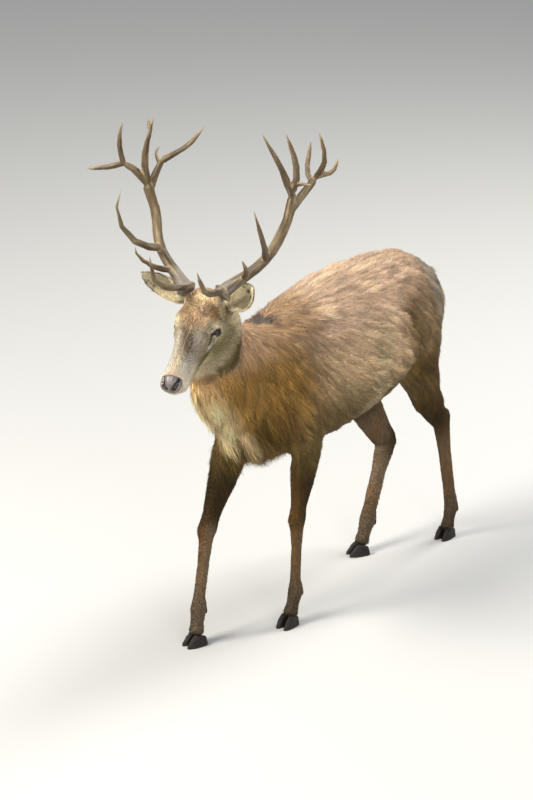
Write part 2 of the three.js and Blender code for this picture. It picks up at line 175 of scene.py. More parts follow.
def head_axes():
    """The head's left, back and up as columns: tilted about its length, dropped, then turned."""
    (ct, st), (cd, sd), (cu, su) = ((np.cos(a), np.sin(a)) for a in (HEAD_TILT, HEAD_DROP, HEAD_TURN))
    tilt = np.array([[ct, 0, st], [0, 1, 0], [-st, 0, ct]])
    drop = np.array([[1, 0, 0], [0, cd, -sd], [0, sd, cd]])
    turn = np.array([[cu, -su, 0], [su, cu, 0], [0, 0, 1]])
    return turn @ drop @ tilt


EYES = (centre("eye_left") + centre("eye_right")) / 2
EYE_OUT = np.linalg.norm(centre("eye_left") - centre("eye_right")) / 2
HEAD = head_axes()


def in_head(points):
    """Points in the head's own frame: x to its left, y back and z up from between the eyes."""
    return (points - EYES) @ HEAD


def from_head(points):
    """Points given in the head's own frame, in the model's."""
    return EYES + np.asarray(points, float) @ HEAD.T


# ---------------------------------------------------------------- meshes


def read(items, name, kind, width):
    """One attribute of many mesh items as an array with so many columns."""
    found = np.empty(len(items) * width, kind)
    items.foreach_get(name, found)
    return found.reshape(-1, width) if width > 1 else found


def places_of(mesh):
    """A mesh's vertices as an array."""
    return read(mesh.vertices, "co", np.float32, 3).astype(float)


class Form:
    """A mesh being shaped: its points, edges and normals as arrays."""

    def __init__(self, mesh):
        self.mesh = mesh
        self.points = places_of(mesh)
        self.edges = read(mesh.edges, "vertices", np.int32, 2)
        self.degree = np.maximum(np.bincount(self.edges.ravel(), minlength=len(self.points)), 1)[:, None]
        self.renew()

    def renew(self):
        """Writes the points to the mesh and reads its normals."""
        self.mesh.vertices.foreach_set("co", self.points.astype(np.float32).ravel())
        self.mesh.update()
        self.normals = read(self.mesh.vertex_normals, "vector", np.float32, 3).astype(float)

    def around(self, values, weights=None):
        """Each vertex's mean over its neighbours; weights are one number an edge."""
        a, b = self.edges.T
        count = len(self.points)
        w = np.ones(len(a)) if weights is None else weights
        total = np.bincount(a, w, count) + np.bincount(b, w, count)
        columns = [np.bincount(a, w * c[b], count) + np.bincount(b, w * c[a], count) for c in values.T]
        return np.stack(columns, 1) / np.maximum(total, 1e-9)[:, None]

    def smooth(self, passes, share=1.0):
        """Steps towards the neighbours' mean and slightly longer ones away, so that nothing shrinks."""
        share = np.broadcast_to(share, len(self.points))[:, None]
        for _ in range(passes):
            for step in (0.5, -0.52):
                self.points = self.points + step * share * (self.around(self.points) - self.points)
        self.renew()

    def relax(self, passes, share):
        """Passes of a plain step towards the neighbours' mean."""
        for _ in range(passes):
            self.points = self.points + 0.5 * share[:, None] * (self.around(self.points) - self.points)
        self.renew()

    def swell(self, height):
        """Moves each point along its normal by its own height."""
        self.points = self.points + self.normals * height[:, None]
        self.renew()

    def streaks(self, ways, step, passes):
        """Random numbers drawn out into streaks along the ways, with a mean of 0 and a spread of 1.

        Each pass puts the mean of a vertex and of the nearest ones a step before and after it in its place.
        """
        values = random.standard_normal(len(self.points))
        before = nearest(self.points, self.points - ways * step, step)
        after = nearest(self.points, self.points + ways * step, step)
        for _ in range(passes):
            values = (values + values[before] + values[after]) / 3
        return (values - values.mean()) / values.std()

    def patches(self, passes):
        """Random numbers evened out into soft patches, with a mean of 0 and a spread of 1."""
        values = random.standard_normal((len(self.points), 1))
        for _ in range(passes):
            values = self.around(values)
        return (values[:, 0] - values.mean()) / values.std()


def placed(name, mesh, smooth=True):
    """An object of that name that holds the mesh."""
    mesh.name = name
    made = bpy.data.objects.new(name, mesh)
    bpy.context.scene.collection.objects.link(made)
    if smooth:
        mesh.shade_smooth()
    return made


def fused(nodes, grid):
    """One closed mesh over copies of the nodes, rebuilt on a grid of small cubes."""
    shape = bmesh.new()
    for node in nodes:
        shape.from_mesh(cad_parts[node].data)
    bmesh.ops.remove_doubles(shape, verts=shape.verts, dist=1e-5)
    mesh = bpy.data.meshes.new("fused")
    shape.to_mesh(mesh)
    shape.free()
    holder = placed("fused", mesh)
    modifier = holder.modifiers.new("fuse", "REMESH")
    modifier.mode = "VOXEL"
    modifier.voxel_size = grid
    depsgraph = bpy.context.evaluated_depsgraph_get()
    made = bpy.data.meshes.new_from_object(holder.evaluated_get(depsgraph))
    bpy.data.objects.remove(holder)
    return made


def surface_mesh(name, rows, closed_rows=False):
    """A closed mesh from a grid of points (rows, columns, 3); the columns meet, and so may the rows."""
    count, around = rows.shape[:2]
    index = np.arange(count * around).reshape(count, around)
    upper = index if closed_rows else index[:-1]
    lower = np.roll(index, -1, 0) if closed_rows else index[1:]
    quads = np.stack([upper, np.roll(upper, -1, 1), np.roll(lower, -1, 1), lower], -1).reshape(-1, 4)
    mesh = bpy.data.meshes.new(name)
    mesh.from_pydata(rows.reshape(-1, 3).tolist(), [], quads.tolist())
    shape = bmesh.new()
    shape.from_mesh(mesh)
    bmesh.ops.remove_doubles(shape, verts=shape.verts, dist=1e-6)
    bmesh.ops.recalc_face_normals(shape, faces=shape.faces)
    shape.to_mesh(mesh)
    shape.free()
    mesh.update()
    return mesh


def nearest(points, targets, cell):
    """For each target the index of the nearest point, out of two from its own cube and each one round it.

    Points are sorted by the number of their cube, (x y-count + y) z-count + z, and looked up by it.
    """
    low = np.minimum(points.min(0), targets.min(0)) - 2 * cell
    counts = ((np.maximum(points.max(0), targets.max(0)) - low) / cell).astype(int) + 4

    def number(cubes):
        return (cubes[:, 0] * counts[1] + cubes[:, 1]) * counts[2] + cubes[:, 2]

    own = number(((points - low) / cell).astype(int))
    order = np.argsort(own, kind="stable")
    own = own[order]
    home = ((targets - low) / cell).astype(int)
    best = np.full(len(targets), np.inf)
    found = np.zeros(len(targets), int)
    for offset in np.ndindex(3, 3, 3):
        wanted = number(home + np.array(offset) - 1)
        first = np.searchsorted(own, wanted)
        for spare in (0, 1):
            place = np.minimum(first + spare, len(own) - 1)
            candidate = order[place]
            apart = np.sum((points[candidate] - targets) ** 2, 1)
            better = (own[place] == wanted) & (apart < best)
            best = np.where(better, apart, best)
            found = np.where(better, candidate, found)
    return found


# ---------------------------------------------------------------- camera, floor and light


def aimed(holder, place, target):
    """Puts a camera or light at a place and turns it to a target."""
    way = Vector(target) - Vector(place)
    holder.location = place
    holder.rotation_euler = way.to_track_quat("-Z", "Y").to_euler()
    bpy.context.scene.collection.objects.link(holder)
    return holder


def add_camera():
    """The camera, at its distance from the target along its azimuth and elevation."""
    data = bpy.data.cameras.new("camera")
    data.lens = CAMERA_LENS
    data.sensor_width = 36
    data.clip_end = 200
    way = np.array(
        [
            np.sin(CAMERA_AZIMUTH) * np.cos(CAMERA_ELEVATION),
            -np.cos(CAMERA_AZIMUTH) * np.cos(CAMERA_ELEVATION),
            np.sin(CAMERA_ELEVATION),
        ]
    )
    target = np.array(CAMERA_TARGET)
    bpy.context.scene.camera = aimed(bpy.data.objects.new("camera", data), target + CAMERA_AWAY * way, target)


def add_light(name, place, size, power, colour):
    """A round soft light aimed at the stag's middle."""
    data = bpy.data.lights.new(name, "AREA")
    data.shape = "DISK"
    data.size = size
    data.energy = power
    data.color = colour
    aimed(bpy.data.objects.new(name, data), place, LIGHTS_AIM)


def add_floor():
    """A wide plain floor at height 0."""
    mesh = bpy.data.meshes.new("floor")
    corners = [(x * FLOOR_HALF, y * FLOOR_HALF, 0) for x, y in ((-1, -1), (1, -1), (1, 1), (-1, 1))]
    mesh.from_pydata(corners, [], [(0, 1, 2, 3)])
    floor = placed("floor", mesh, smooth=False)
    material = bpy.data.materials.new("floor_pale")
    material.use_nodes = True
    shader = material.node_tree.nodes["Principled BSDF"]
    shader.inputs["Base Color"].default_value = FLOOR_COLOUR
    shader.inputs["Roughness"].default_value = 0.9
    mesh.materials.append(material)


def add_world():
    """An even pale sky."""
    world = bpy.data.worlds.new("studio")
    bpy.context.scene.world = world
    world.use_nodes = True
    sky = world.node_tree.nodes["Background"]
    sky.inputs["Color"].default_value = SKY_COLOUR
    sky.inputs["Strength"].default_value = SKY_STRENGTH
    bpy.context.scene.view_settings.view_transform = "Standard"


add_camera()
add_floor()
add_world()
for light_name, light in LIGHTS.items():
    add_light(light_name, *light)

# ---------------------------------------------------------------- the skin

FLESH = ["trunk", "neck", "head", "tail"]
FLESH += ["leg_" + limb + "_" + part for limb in LIMBS for part in ("upper", "cannon", "foot")]


def limb_places(limb):
    """The joints of a limb from its nodes: the cannon's two ends, carried on to the joints past them."""
    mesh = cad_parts["leg_" + limb + "_cannon"].data
    points = places_of(mesh)
    height = points[:, 2]
    top = points[height > height.max() - 0.02].mean(0)
    bottom = points[height < height.min() + 0.02].mean(0)
    spare = (top - bottom) * (1 - CANNON_SHARE) / 2 / CANNON_SHARE
    outer, inner = centre("leg_" + limb + "_hoof_outer"), centre("leg_" + limb + "_hoof_inner")
    sole = (outer + inner) / 2
    return {"bend": top + spare, "fetlock": bottom - spare, "hoof": sole, "out": unit(outer - inner)}


JOINTS = {limb: limb_places(limb) for limb in LIMBS}

# Where the muscles and bones of the upper limbs lie, as shares of the upper limb's box.
UPPER_PLACES = {
    "fore_left": {"blade": (0.31, 0.58, 1.08), "shoulder": (0.52, 0.37, 0.78), "elbow": (0.41, 0.64, 0.52)},
    "fore_right": {"blade": (0.67, 1.02, 1.06), "shoulder": (0.47, 0.78, 0.76), "elbow": (0.58, 0.7, 0.51)},
    "hind_left": {
        "croup": (0.21, 0.39, 1.21),
        "hip": (0.43, 0.42, 0.96),
        "thigh": (0.49, 0.36, 0.66),
        "gaskin": (0.48, 0.53, 0.39),
    },
    "hind_right": {
        "croup": (0.8, 0.52, 1.15),
        "hip": (0.61, 0.52, 0.94),
        "thigh": (0.56, 0.43, 0.68),
        "gaskin": (0.58, 0.41, 0.42),
    },
}
for upper, places in UPPER_PLACES.items():
    for place_name, shares in places.items():
        JOINTS[upper][place_name] = inside("leg_" + upper + "_upper", *shares)

MIDDLE_X = centre("trunk")[0]
WITHERS = inside("trunk", 0.5, 0.28, 0.96)
LOIN = inside("trunk", 0.5, 0.6, 0.98)
CROUP = inside("trunk", 0.5, 0.8, 0.97)
DOCK = inside("tail", 0.5, 0.1, 0.9)
BREAST = inside("trunk", 0.5, 0.03, 0.42)
POLL = from_head((0, 0.12, 0.07))
THROAT_TOP = from_head((0, 0.09, -0.1))
NAPE_END = inside("neck", 0.47, 0.94, 0.63)


def head_share(points):
    """1 on the head, 0 on the neck and body: how near a point is to the line from the poll to the nose."""
    return ramp(along(in_head(points), (0, 0.06, -0.02), (0, -0.26, -0.035), 0.15), 0.3, 0.62)


def leg_share(points):
    """1 on the lower legs, fading out above the elbows and hocks."""
    share = np.zeros(len(points))
    for limb, at in JOINTS.items():
        top = at["elbow"] if limb in FORE else at["gaskin"]
        for start, end in ((top, at["bend"]), (at["bend"], at["fetlock"]), (at["fetlock"], at["hoof"])):
            share = np.maximum(share, along(points, start, end, 0.11))
    return ramp(share, 0.3, 0.7) * (1 - ramp(points[:, 2], 0.5, 0.74))


def behind_jaw(points):
    """How far behind and below the jaw a point is: past a slanting line, or past a level one below it."""
    h = in_head(points)
    return np.maximum(0.885 * (h[:, 1] - 0.03) - 0.465 * (h[:, 2] + 0.227), -0.185 - h[:, 2])


def mane_share(points):
    """1 on the neck and breast behind the jaw, where the hair hangs long."""
    throat = along(points, THROAT_TOP, BREAST + (0, 0.06, 0.06), 0.24)
    crest = along(points, POLL, WITHERS, 0.15)
    ahead = 1 - ramp(points[:, 1], WITHERS[1] - 0.12, WITHERS[1] + 0.14)
    share = ramp(np.maximum(throat, crest), 0.12, 0.6) * ahead * ramp(behind_jaw(points), -0.008, 0.02)
    return share * (1 - head_share(points)) * (1 - leg_share(points))


def coat_depth(points):
    """How far the skin lies under the tips of the coat."""
    depth = 0.008 + 0.016 * mane_share(points) + 0.004 * along(points, WITHERS, LOIN, 0.1)
    depth = depth + (0.0035 - depth) * leg_share(points)
    return depth + (0.003 - depth) * head_share(points)


def finer(mesh, chosen):
    """Cuts every edge in two where both its ends are chosen, which quarters the faces there."""
    shape = bmesh.new()
    shape.from_mesh(mesh)
    edges = [e for e in shape.edges if chosen[e.verts[0].index] and chosen[e.verts[1].index]]
    bmesh.ops.subdivide_edges(shape, edges=edges, cuts=1, use_grid_fill=True)
    bmesh.ops.triangulate(shape, faces=[f for f in shape.faces if len(f.verts) > 4])
    shape.to_mesh(mesh)
    shape.free()
    mesh.update()
    return mesh


def heights(points, forms):
    """The sum of height times nearness over forms, each a height, a line's start and end, and a radius."""
    total = np.zeros(len(points))
    for height, start, end, radius in forms:
        total += height * along(points, start, end, radius)
    return total


def limb_forms(limb, at):
    """The bones, sinews, muscles and hollows of a limb, each as heights takes it."""
    out, bend, fetlock, hoof = at["out"], at["bend"], at["fetlock"], at["hoof"]
    lower = bend - fetlock
    front = unit(np.cross(lower, out))
    front = front if front[1] < 0 else -front
    heel = fetlock - front * 0.02
    forms = []
    for face in (out, -out):
        start = bend - lower * 0.2 + face * 0.02 - front * 0.006
        forms.append((-0.0035, start, heel + lower * 0.15 + face * 0.02, 0.008))  # before the sinews
    forms.append((0.003, fetlock - front * 0.012, None, 0.022))  # fetlock
    forms.append((-0.002, (fetlock + hoof) / 2, None, 0.02))  # pastern
    if limb in FORE:
        blade, shoulder, elbow = at["blade"], at["shoulder"], at["elbow"]
        return forms + [
            (0.010, blade + (0, -0.03, -0.04), shoulder, 0.06),  # shoulder blade
            (-0.010, blade + (0, 0.13, -0.02), elbow + (0, 0.13, 0.1) + out * 0.03, 0.035),  # behind it
            (0.012, shoulder + (0, 0.06, 0.0), elbow + (0, 0.03, 0.05), 0.055),  # upper arm
            (0.008, shoulder + (0, -0.07, -0.02), None, 0.05),  # point of the shoulder
            (-0.006, shoulder + (0, 0.0, -0.03), elbow + (0, -0.05, -0.02) + out * 0.03, 0.02),  # under it
            (0.007, elbow + (0, 0.06, 0.03), None, 0.025),  # elbow
            (0.004, elbow + (0, -0.03, -0.04), elbow + (0, -0.02, -0.15), 0.03),  # forearm
            (0.003, bend + front * 0.02, None, 0.03),  # knee
            (0.004, bend - front * 0.03 + (0, 0, 0.012), None, 0.015),  # back of the knee
        ]
    croup, hip, thigh, gaskin = at["croup"], at["hip"], at["thigh"], at["gaskin"]
    sinew = bend - front * 0.045
    forms += [
        (0.012, croup + (0, -0.07, -0.03) + out * 0.03, None, 0.045),  # point of the hip
        (0.012, hip, thigh + (0, -0.03, 0), 0.09),  # haunch
        (-0.020, croup + (0, -0.16, -0.13) + out * 0.09, None, 0.085),  # flank
        (0.010, thigh + (0, -0.14, -0.02), thigh + (0, -0.3, 0.1) + out * 0.02, 0.028),  # fold of the flank
        (-0.008, thigh + (0, -0.17, 0.06), thigh + (0, -0.3, 0.19) + out * 0.02, 0.03),  # over the fold
        (-0.007, hip + (0, 0.07, 0.02) + out * 0.03, thigh + (0, 0.05, -0.06) + out * 0.03, 0.018),  # seam
        (0.006, thigh + (0, -0.11, -0.08) + out * 0.02, None, 0.045),  # stifle
        (0.007, gaskin + (0, 0.01, 0.03), gaskin * 0.55 + bend * 0.45, 0.035),  # second thigh
        (0.006, sinew + (0, 0, 0.035), None, 0.02),  # point of the hock
    ]
    for face in (out, -out):
        start = sinew + front * 0.02 + face * 0.02 + (0, 0, 0.06)
        forms.append((-0.007, start, gaskin * 0.6 + bend * 0.4 - front * 0.03 + face * 0.03, 0.016))
    return forms + [(0.0025, bend + out * 0.025, None, 0.02)]  # side of the hock


def body_forms(points):
    """The heights of the muscles, bones and hollows of the trunk and the limbs."""
    forms = [(0.004, WITHERS, WITHERS + (0, -0.1, 0), 0.04), (0.006, CROUP, LOIN, 0.06)]
    for limb, at in JOINTS.items():
        forms += limb_forms(limb, at)
    return heights(points, forms)


# The forms of the head in its own frame: on its middle line, on each side, and last the chin and right brow.
MIDDLE_FORMS = {
    "bridge": (0.002, (0, -0.05, 0.05), (0, -0.23, 0.02), 0.018),
    "crown": (0.004, (0, 0.07, 0.085), (0, 0.03, 0.075), 0.03),
    "between the eyes": (-0.002, (0, -0.01, 0.06), None, 0.02),
}
SIDE_FORMS = {
    "brow": (0.004, (0.066, 0.03, 0.044), (0.052, -0.012, 0.056), 0.012),
    "before the brow": (-0.008, (0.066, -0.008, 0.03), (0.062, -0.036, 0.024), 0.016),
    "cheekbone": (0.002, (0.076, 0.03, -0.03), (0.056, -0.085, -0.034), 0.02),
    "side of the bridge": (-0.0035, (0.052, -0.08, 0.0), (0.044, -0.17, -0.014), 0.024),
    "jaw muscle": (0.007, (0.066, 0.05, -0.07), None, 0.035),
    "jaw": (0.003, (0.06, -0.06, -0.06), (0.045, -0.15, -0.055), 0.02),
    "temple": (-0.006, (0.07, 0.055, 0.03), None, 0.022),
    "muzzle": (0.005, (0.036, -0.225, -0.03), None, 0.024),
    "over the nostril": (0.003, (0.02, -0.25, 0.012), (0.038, -0.235, 0.0), 0.012),
    "front of the orbit": (0.006, (0.072, -0.034, 0.004), None, 0.018),
    "slit before the eye": (-0.004, (0.0635, -0.035, 0.01), (0.057, -0.06, -0.009), 0.006),
    "over the slit": (0.002, (0.058, -0.048, 0.026), (0.052, -0.072, 0.01), 0.007),
}
LAST_FORMS = {
    "chin": (0.003, (0.02, -0.235, -0.08), (-0.02, -0.235, -0.08), 0.016),
    "right brow": (0.010, (-0.072, -0.018, 0.018), None, 0.02),
}


def on_side(place, side):
    """A place on the left side of the head, or its mirror image on the right."""
    return None if place is None else np.array([side, 1, 1]) * place


def face_forms(points):
    """The same for the head: bridge, brows, cheekbones, jaw muscles, slits, muzzle and chin."""
    forms = list(MIDDLE_FORMS.values())
    for side in SIDES.values():
        forms += [(height, on_side(a, side), on_side(b, side), r) for height, a, b, r in SIDE_FORMS.values()]
    return heights(in_head(points), forms + list(LAST_FORMS.values())) * head_share(points)


def lip_line(side):
    """The mouth's corner, the middle of its side and its front, in the head's frame."""
    places = (0.043, -0.19, -0.062), (0.036, -0.235, -0.056), (0.016, -0.268, -0.047)
    return [on_side(place, side) for place in places]


def pad_share(h):
    """1 on the bare nose: wide between the nostrils and narrowing down to the lip."""
    wide = 0.014 + 0.023 * ramp(h[:, 2], -0.044, -0.008) - 0.012 * ramp(h[:, 2], 0.004, 0.02)
    across = 1 - ramp(np.abs(h[:, 0]), wide - 0.003, wide + 0.003)
    ahead = ramp(-h[:, 1] + 0.25 * np.maximum(np.abs(h[:, 0]) - 0.015, 0), 0.236, 0.242)
    return across * ahead * ramp(h[:, 2], -0.039, -0.031)


def mouth_share(h, width):
    """How near points in the head's frame are to the line where the lips meet."""
    share = np.zeros(len(h))
    for side in SIDES.values():
        corner, middle, front = lip_line(side)
        share = np.maximum(share, along(h, corner, middle, width))
        share = np.maximum(share, along(h, middle, front, width))
        share = np.maximum(share, along(h, front, front * (0, 1, 1) - (0, 0.006, 0), width))
    return share


# The opening between the lids: its reach forwards, backwards, up and down from the middle, at the eyeball.
EYE_RADIUS = (box_of("eye_left")[1] - box_of("eye_left")[0]).mean() / 2
LID_FRONT = 0.0155
LID_REAR = 0.0168
LID_UP = 0.0102
LID_DOWN = 0.0086
CORNEA = 0.0014  # how far the cornea stands out of the ball
PUPIL = (0.42, 0.24)  # half its length and half its height, in eyeball radii
LASHES = 90
LASH_WIDTH = 0.0007
LID_WIDE_POWER = 1.6
LID_HIGH_POWER = 1.5


def eye_frame(side):
    """An eye's middle, and its directions out, forwards along the lids and up, in the head's frame.

    The stag looks ahead to its left, so the left eye is turned further forwards than the right.
    """
    out = unit((side, -0.4, 0.46) if side > 0 else (side, -0.2, 0.3))
    forward = np.array([0, -1, 0.6])
    front = unit(forward - out * (forward @ out))
    up = np.cross(front, out) * side
    return np.array([side * (EYE_OUT - (0.001 if side > 0 else 0.004)), -0.001, 0.001]), out, front, up


def slit_share(h):
    """1 in the dark slit that runs forwards and down from the eye's front corner."""
    fold = np.abs(h) * (1, 0, 0) + h * (0, 1, 1)
    corner, bend, end = (0.0655, -0.016, 0.009), (0.064, -0.033, 0.01), (0.057, -0.058, -0.009)
    return ramp(np.maximum(along(fold, corner, bend, 0.0055), along(fold, bend, end, 0.005)), 0.3, 0.7)


def almond_of(ways, front, up):
    """1 on the lids' edge, less inside and more outside: |x|^p + |y|^q in units of the opening's reach."""
    x = EYE_RADIUS * (ways @ front)
    y = EYE_RADIUS * (ways @ up)
    wide = np.where(x > 0, x / LID_FRONT, -x / LID_REAR) ** LID_WIDE_POWER
    return wide + np.where(y > 0, y / LID_UP, -y / LID_DOWN) ** LID_HIGH_POWER


def about_eye(h, side):
    """Ways and distances from an eye's middle to points in the head's frame, their almond, and way @ out."""
    middle, out, front, up = eye_frame(side)
    ways = unit(h - middle)
    return ways, lengths(h - middle), almond_of(ways, front, up), ways @ out


def set_eyelids(form):
    """Inside the almond between the lids the skin goes behind the eyeball; round it, it lies on the ball."""
    h = in_head(form.points)
    for side in SIDES.values():
        way, distance, almond, facing = about_eye(h, side)
        fold = EYE_RADIUS + 0.0016 + 0.0012 * np.exp(-(((almond - 2.2) / 0.6) ** 2))
        blend = 1 - ramp(distance, EYE_RADIUS + 0.01, EYE_RADIUS + 0.026)
        drawn_in = distance + (fold - distance) * blend * (1 - ramp(almond, 2.8, 7))
        lying = np.where(distance < fold, fold, drawn_in)
        wanted = np.where(almond < 1, EYE_RADIUS - 0.004, lying)
        near_eye = (facing > 0.1) & (distance < EYE_RADIUS + 0.026)
        h[near_eye] = eye_frame(side)[0] + way[near_eye] * wanted[near_eye][:, None]
    form.points = from_head(h)
    form.renew()


def shaped_skin():
    """The flesh as one form: fused, smoothed, given muscles, drawn in by the coat's depth, given a face."""
    mesh = fused(FLESH + ["nose_pad"], SKIN_GRID)
    finer(mesh, head_share(places_of(mesh)) > 0.25)
    h = in_head(places_of(mesh))
    round_eyes = near(np.abs(h), (EYE_OUT, 0, 0), 0.036) > 0.37
    finer(mesh, round_eyes | (mouth_share(h, 0.02) > 0.4))
    form = Form(mesh)
    on_head = head_share(form.points)
    on_leg = leg_share(form.points)
    loose = (1 - on_head) * (1 - on_leg)
    form.smooth(12, 0.3 + 0.7 * (1 - on_head))
    form.smooth(45, loose)
    form.relax(10, loose * 0.8)
    form.smooth(14, on_head)
    form.swell(body_forms(form.points) * (1 - on_head))
    form.swell(-coat_depth(form.points))
    form.swell(face_forms(form.points))
    h = in_head(form.points)
    form.swell(-0.004 * mouth_share(h, 0.0035) - 0.007 * pad_share(h))
    form.smooth(2, 1.0)
    set_eyelids(form)
    return form


# ---------------------------------------------------------------- the coat's markings

# Linear red, green and blue.
BODY = (0.76, 0.54, 0.33)
BACK = (0.67, 0.475, 0.33)
FLANK = (0.52, 0.4, 0.24)
LOW_SIDES_AND_SHADE = (0.17, 0.12, 0.035)
BELLY = (0.1, 0.07, 0.02)
SHOULDER = (0.2, 0.125, 0.04)
MANE = (0.39, 0.22, 0.06)
# Dark brown hair; also painted shade behind the elbows, between the mane's clumps and deep in the ears.
DARK_HAIR_AND_SHADE = (0.07, 0.042, 0.012)
LOW_MANE_AND_SHADE = (0.065, 0.04, 0.006)
MANE_TOP = (0.6, 0.4, 0.25)
THROAT_PALE = (1.0, 0.77, 0.44)
UPPER_THROAT_AND_SHADE = (0.26, 0.205, 0.085)
THROAT_ORANGE = (0.62, 0.35, 0.13)
NAPE = (0.12, 0.112, 0.108)
RUMP = (0.72, 0.59, 0.39)
RUMP_SKY_LIGHT = (0.4, 0.38, 0.32)
TAIL_TOP = (0.38, 0.27, 0.17)
THIGH = (0.13, 0.072, 0.018)
LEG = (0.058, 0.037, 0.011)
LEG_FRONT_AND_LIGHT = (0.25, 0.13, 0.042)
LEG_PALE = (0.46, 0.33, 0.22)
FOOT = (0.15, 0.115, 0.075)
FACE = (0.68, 0.55, 0.37)
BRIDGE = (0.26, 0.185, 0.12)
BRIDGE_PALE = (0.97, 0.9, 0.8)
FOREHEAD = (0.76, 0.52, 0.31)
RED_PATCH = (0.62, 0.27, 0.08)
CHEEK_AND_SHADE = (0.2, 0.175, 0.055)
EYE_PALE = (0.9, 0.8, 0.56)
MUZZLE = (0.95, 0.86, 0.7)
CHIN = (0.95, 0.9, 0.76)
BARE_DARK = (0.02, 0.014, 0.01)
EAR_OUTSIDE = (0.43, 0.31, 0.18)
EAR_INSIDE = (1.0, 0.85, 0.57)
EAR_EDGE = (0.08, 0.06, 0.042)
IRIS = (0.022, 0.011, 0.005)
NOSE_GREY_AND_SHEEN = (0.14, 0.116, 0.108)
NOSE_BROWN = (0.1, 0.068, 0.045)
ANTLER_TAN = (0.155, 0.108, 0.05)
ANTLER_GREY = (0.24, 0.225, 0.2)
# Dark in the antler's grooves, and painted shade on its undersides.
ANTLER_GROOVES_AND_SHADE = (0.035, 0.022, 0.01)
ANTLER_PALE = (0.44, 0.33, 0.2)
HORN_DARK = (0.013, 0.01, 0.008)
HORN_PALE = (0.06, 0.045, 0.032)


def plain(colour, count):
    """One colour for so many points."""
    return np.tile(np.array(colour), (count, 1))


def lay(colour, share, over):
    """Mixes a colour over the colours so far, by each point's share."""
    share = np.clip(share, 0, 1)[:, None]
    return colour * (1 - share) + np.array(over) * share


def across_body(points, start, end, radius):
    """Nearness to a line through the body's side, the same on the left and the right."""
    flat = np.array([0, 1, 1])
    return along(points * flat, start * flat, end * flat, radius)


def body_colour(points):
    """Trunk and neck: pale back, sides darkening downwards partly as painted shade, dark mane, pale throat,
    greyish nape, painted shade behind the elbows and a grey rim of painted sky light round the rump.
    """
    y, z = points[:, 1], points[:, 2]
    colour = plain(BODY, len(points))
    colour = lay(colour, ramp(z, 1.0, 1.14), BACK)
    # Darker low on the sides: partly the coat's own darker underside, partly painted shade from light falling
    # from above.
    colour = lay(colour, 0.9 * (1 - ramp(z, 0.78, 0.98)), LOW_SIDES_AND_SHADE)
    last_rib = across_body(points, inside("trunk", 0.5, 0.53, 0.64), inside("trunk", 0.5, 0.49, 0.22), 0.075)
    colour = lay(colour, 0.85 * ramp(last_rib, 0.2, 0.9), FLANK)
    colour = lay(colour, 0.9 * (1 - ramp(z, 0.655, 0.72)), BELLY)
    for limb, at in JOINTS.items():
        if limb in FORE:
            shoulder, elbow = at["shoulder"] + (0, 0, 0.08), at["elbow"]
            colour = lay(colour, 0.85 * along(points, shoulder, elbow, 0.14), SHOULDER)
            # Painted shade in the hollow behind the elbow.
            behind = along(points, elbow + (0, 0.13, 0.2), elbow + (0, 0.13, 0), 0.05)
            colour = lay(colour, 0.6 * behind, DARK_HAIR_AND_SHADE)
            continue
        haunch = along(points, at["hip"] + (0, 0.02, 0.02), at["gaskin"], 0.15)
        colour = lay(colour, 0.85 * haunch, THIGH)
        fold = along(points, at["thigh"] + (0, -0.15, 0.0), at["thigh"] + (0, -0.29, 0.12), 0.035)
        colour = lay(colour, 0.3 * fold, BACK)
    haunch = across_body(points, inside("trunk", 0.5, 0.71, 0.66), inside("trunk", 0.5, 0.75, 0.3), 0.09)
    colour = lay(colour, 0.8 * haunch, THIGH)
    rump = ramp(near(points, DOCK + (0, 0.02, -0.06), 0.17), 0.42, 0.62)
    # A grey rim round the pale rump: painted sky light.
    edge = ramp(near(points, DOCK + (0, 0.02, -0.06), 0.3), 0.36, 0.55)
    colour = lay(colour, 0.55 * edge * ramp(y, DOCK[1] - 0.24, DOCK[1] - 0.14), RUMP_SKY_LIGHT)
    behind = ramp(y, DOCK[1] - 0.14, DOCK[1] - 0.07)
    colour = lay(colour, rump * behind, RUMP)
    tail = along(points, DOCK, inside("tail", 0.5, 0.9, 0.2), 0.035) * behind
    colour = lay(colour, ramp(tail, 0.35, 0.7), TAIL_TOP)

    mane = mane_share(points)
    colour = lay(colour, mane, MANE)
    colour = lay(colour, 0.9 * mane * ramp(z, 1.06, 1.2), MANE_TOP)
    # Darker low on the mane: partly its own dark hair, partly painted shade from light falling from above.
    colour = lay(colour, 0.9 * mane * (1 - ramp(z, 0.8, 0.98)), LOW_MANE_AND_SHADE)
    from_front = y - BREAST[1] + 0.125 + 0.9 * (z - 0.95)
    pale = (1 - ramp(from_front, -0.025, 0.065)) * ramp(z, 0.76, 0.83)
    colour = lay(colour, 0.95 * mane * pale, THROAT_PALE)
    nape = 0.5 * ramp(along(points, POLL + (0, 0.03, 0), WITHERS + (0, -0.05, 0), 0.04), 0.3, 0.75)
    colour = lay(colour, np.maximum(nape, 0.9 * ramp(near(points, NAPE_END, 0.045), 0.3, 0.7)), NAPE)
    past = behind_jaw(points)
    h = in_head(points)
    jaw = near(h, (0, 0.03, -0.12), 0.22)
    # Olive upper throat in front of the jaw line: partly its short hair's colour, partly painted shade with a
    # greenish reflected cast.
    colour = lay(colour, (1 - ramp(past, -0.02, 0.004)) * ramp(jaw, 0.15, 0.5), UPPER_THROAT_AND_SHADE)
    band = np.exp(-(((past + 0.024) / 0.022) ** 2)) * ramp(jaw, 0.2, 0.45) * ramp(h[:, 2], -0.21, -0.16)
    colour = lay(colour, 0.8 * band, DARK_HAIR_AND_SHADE)
    return lay(colour, 0.8 * near(h, (0.0, -0.04, -0.21), 0.07) * (h[:, 2] < -0.15), THROAT_ORANGE)


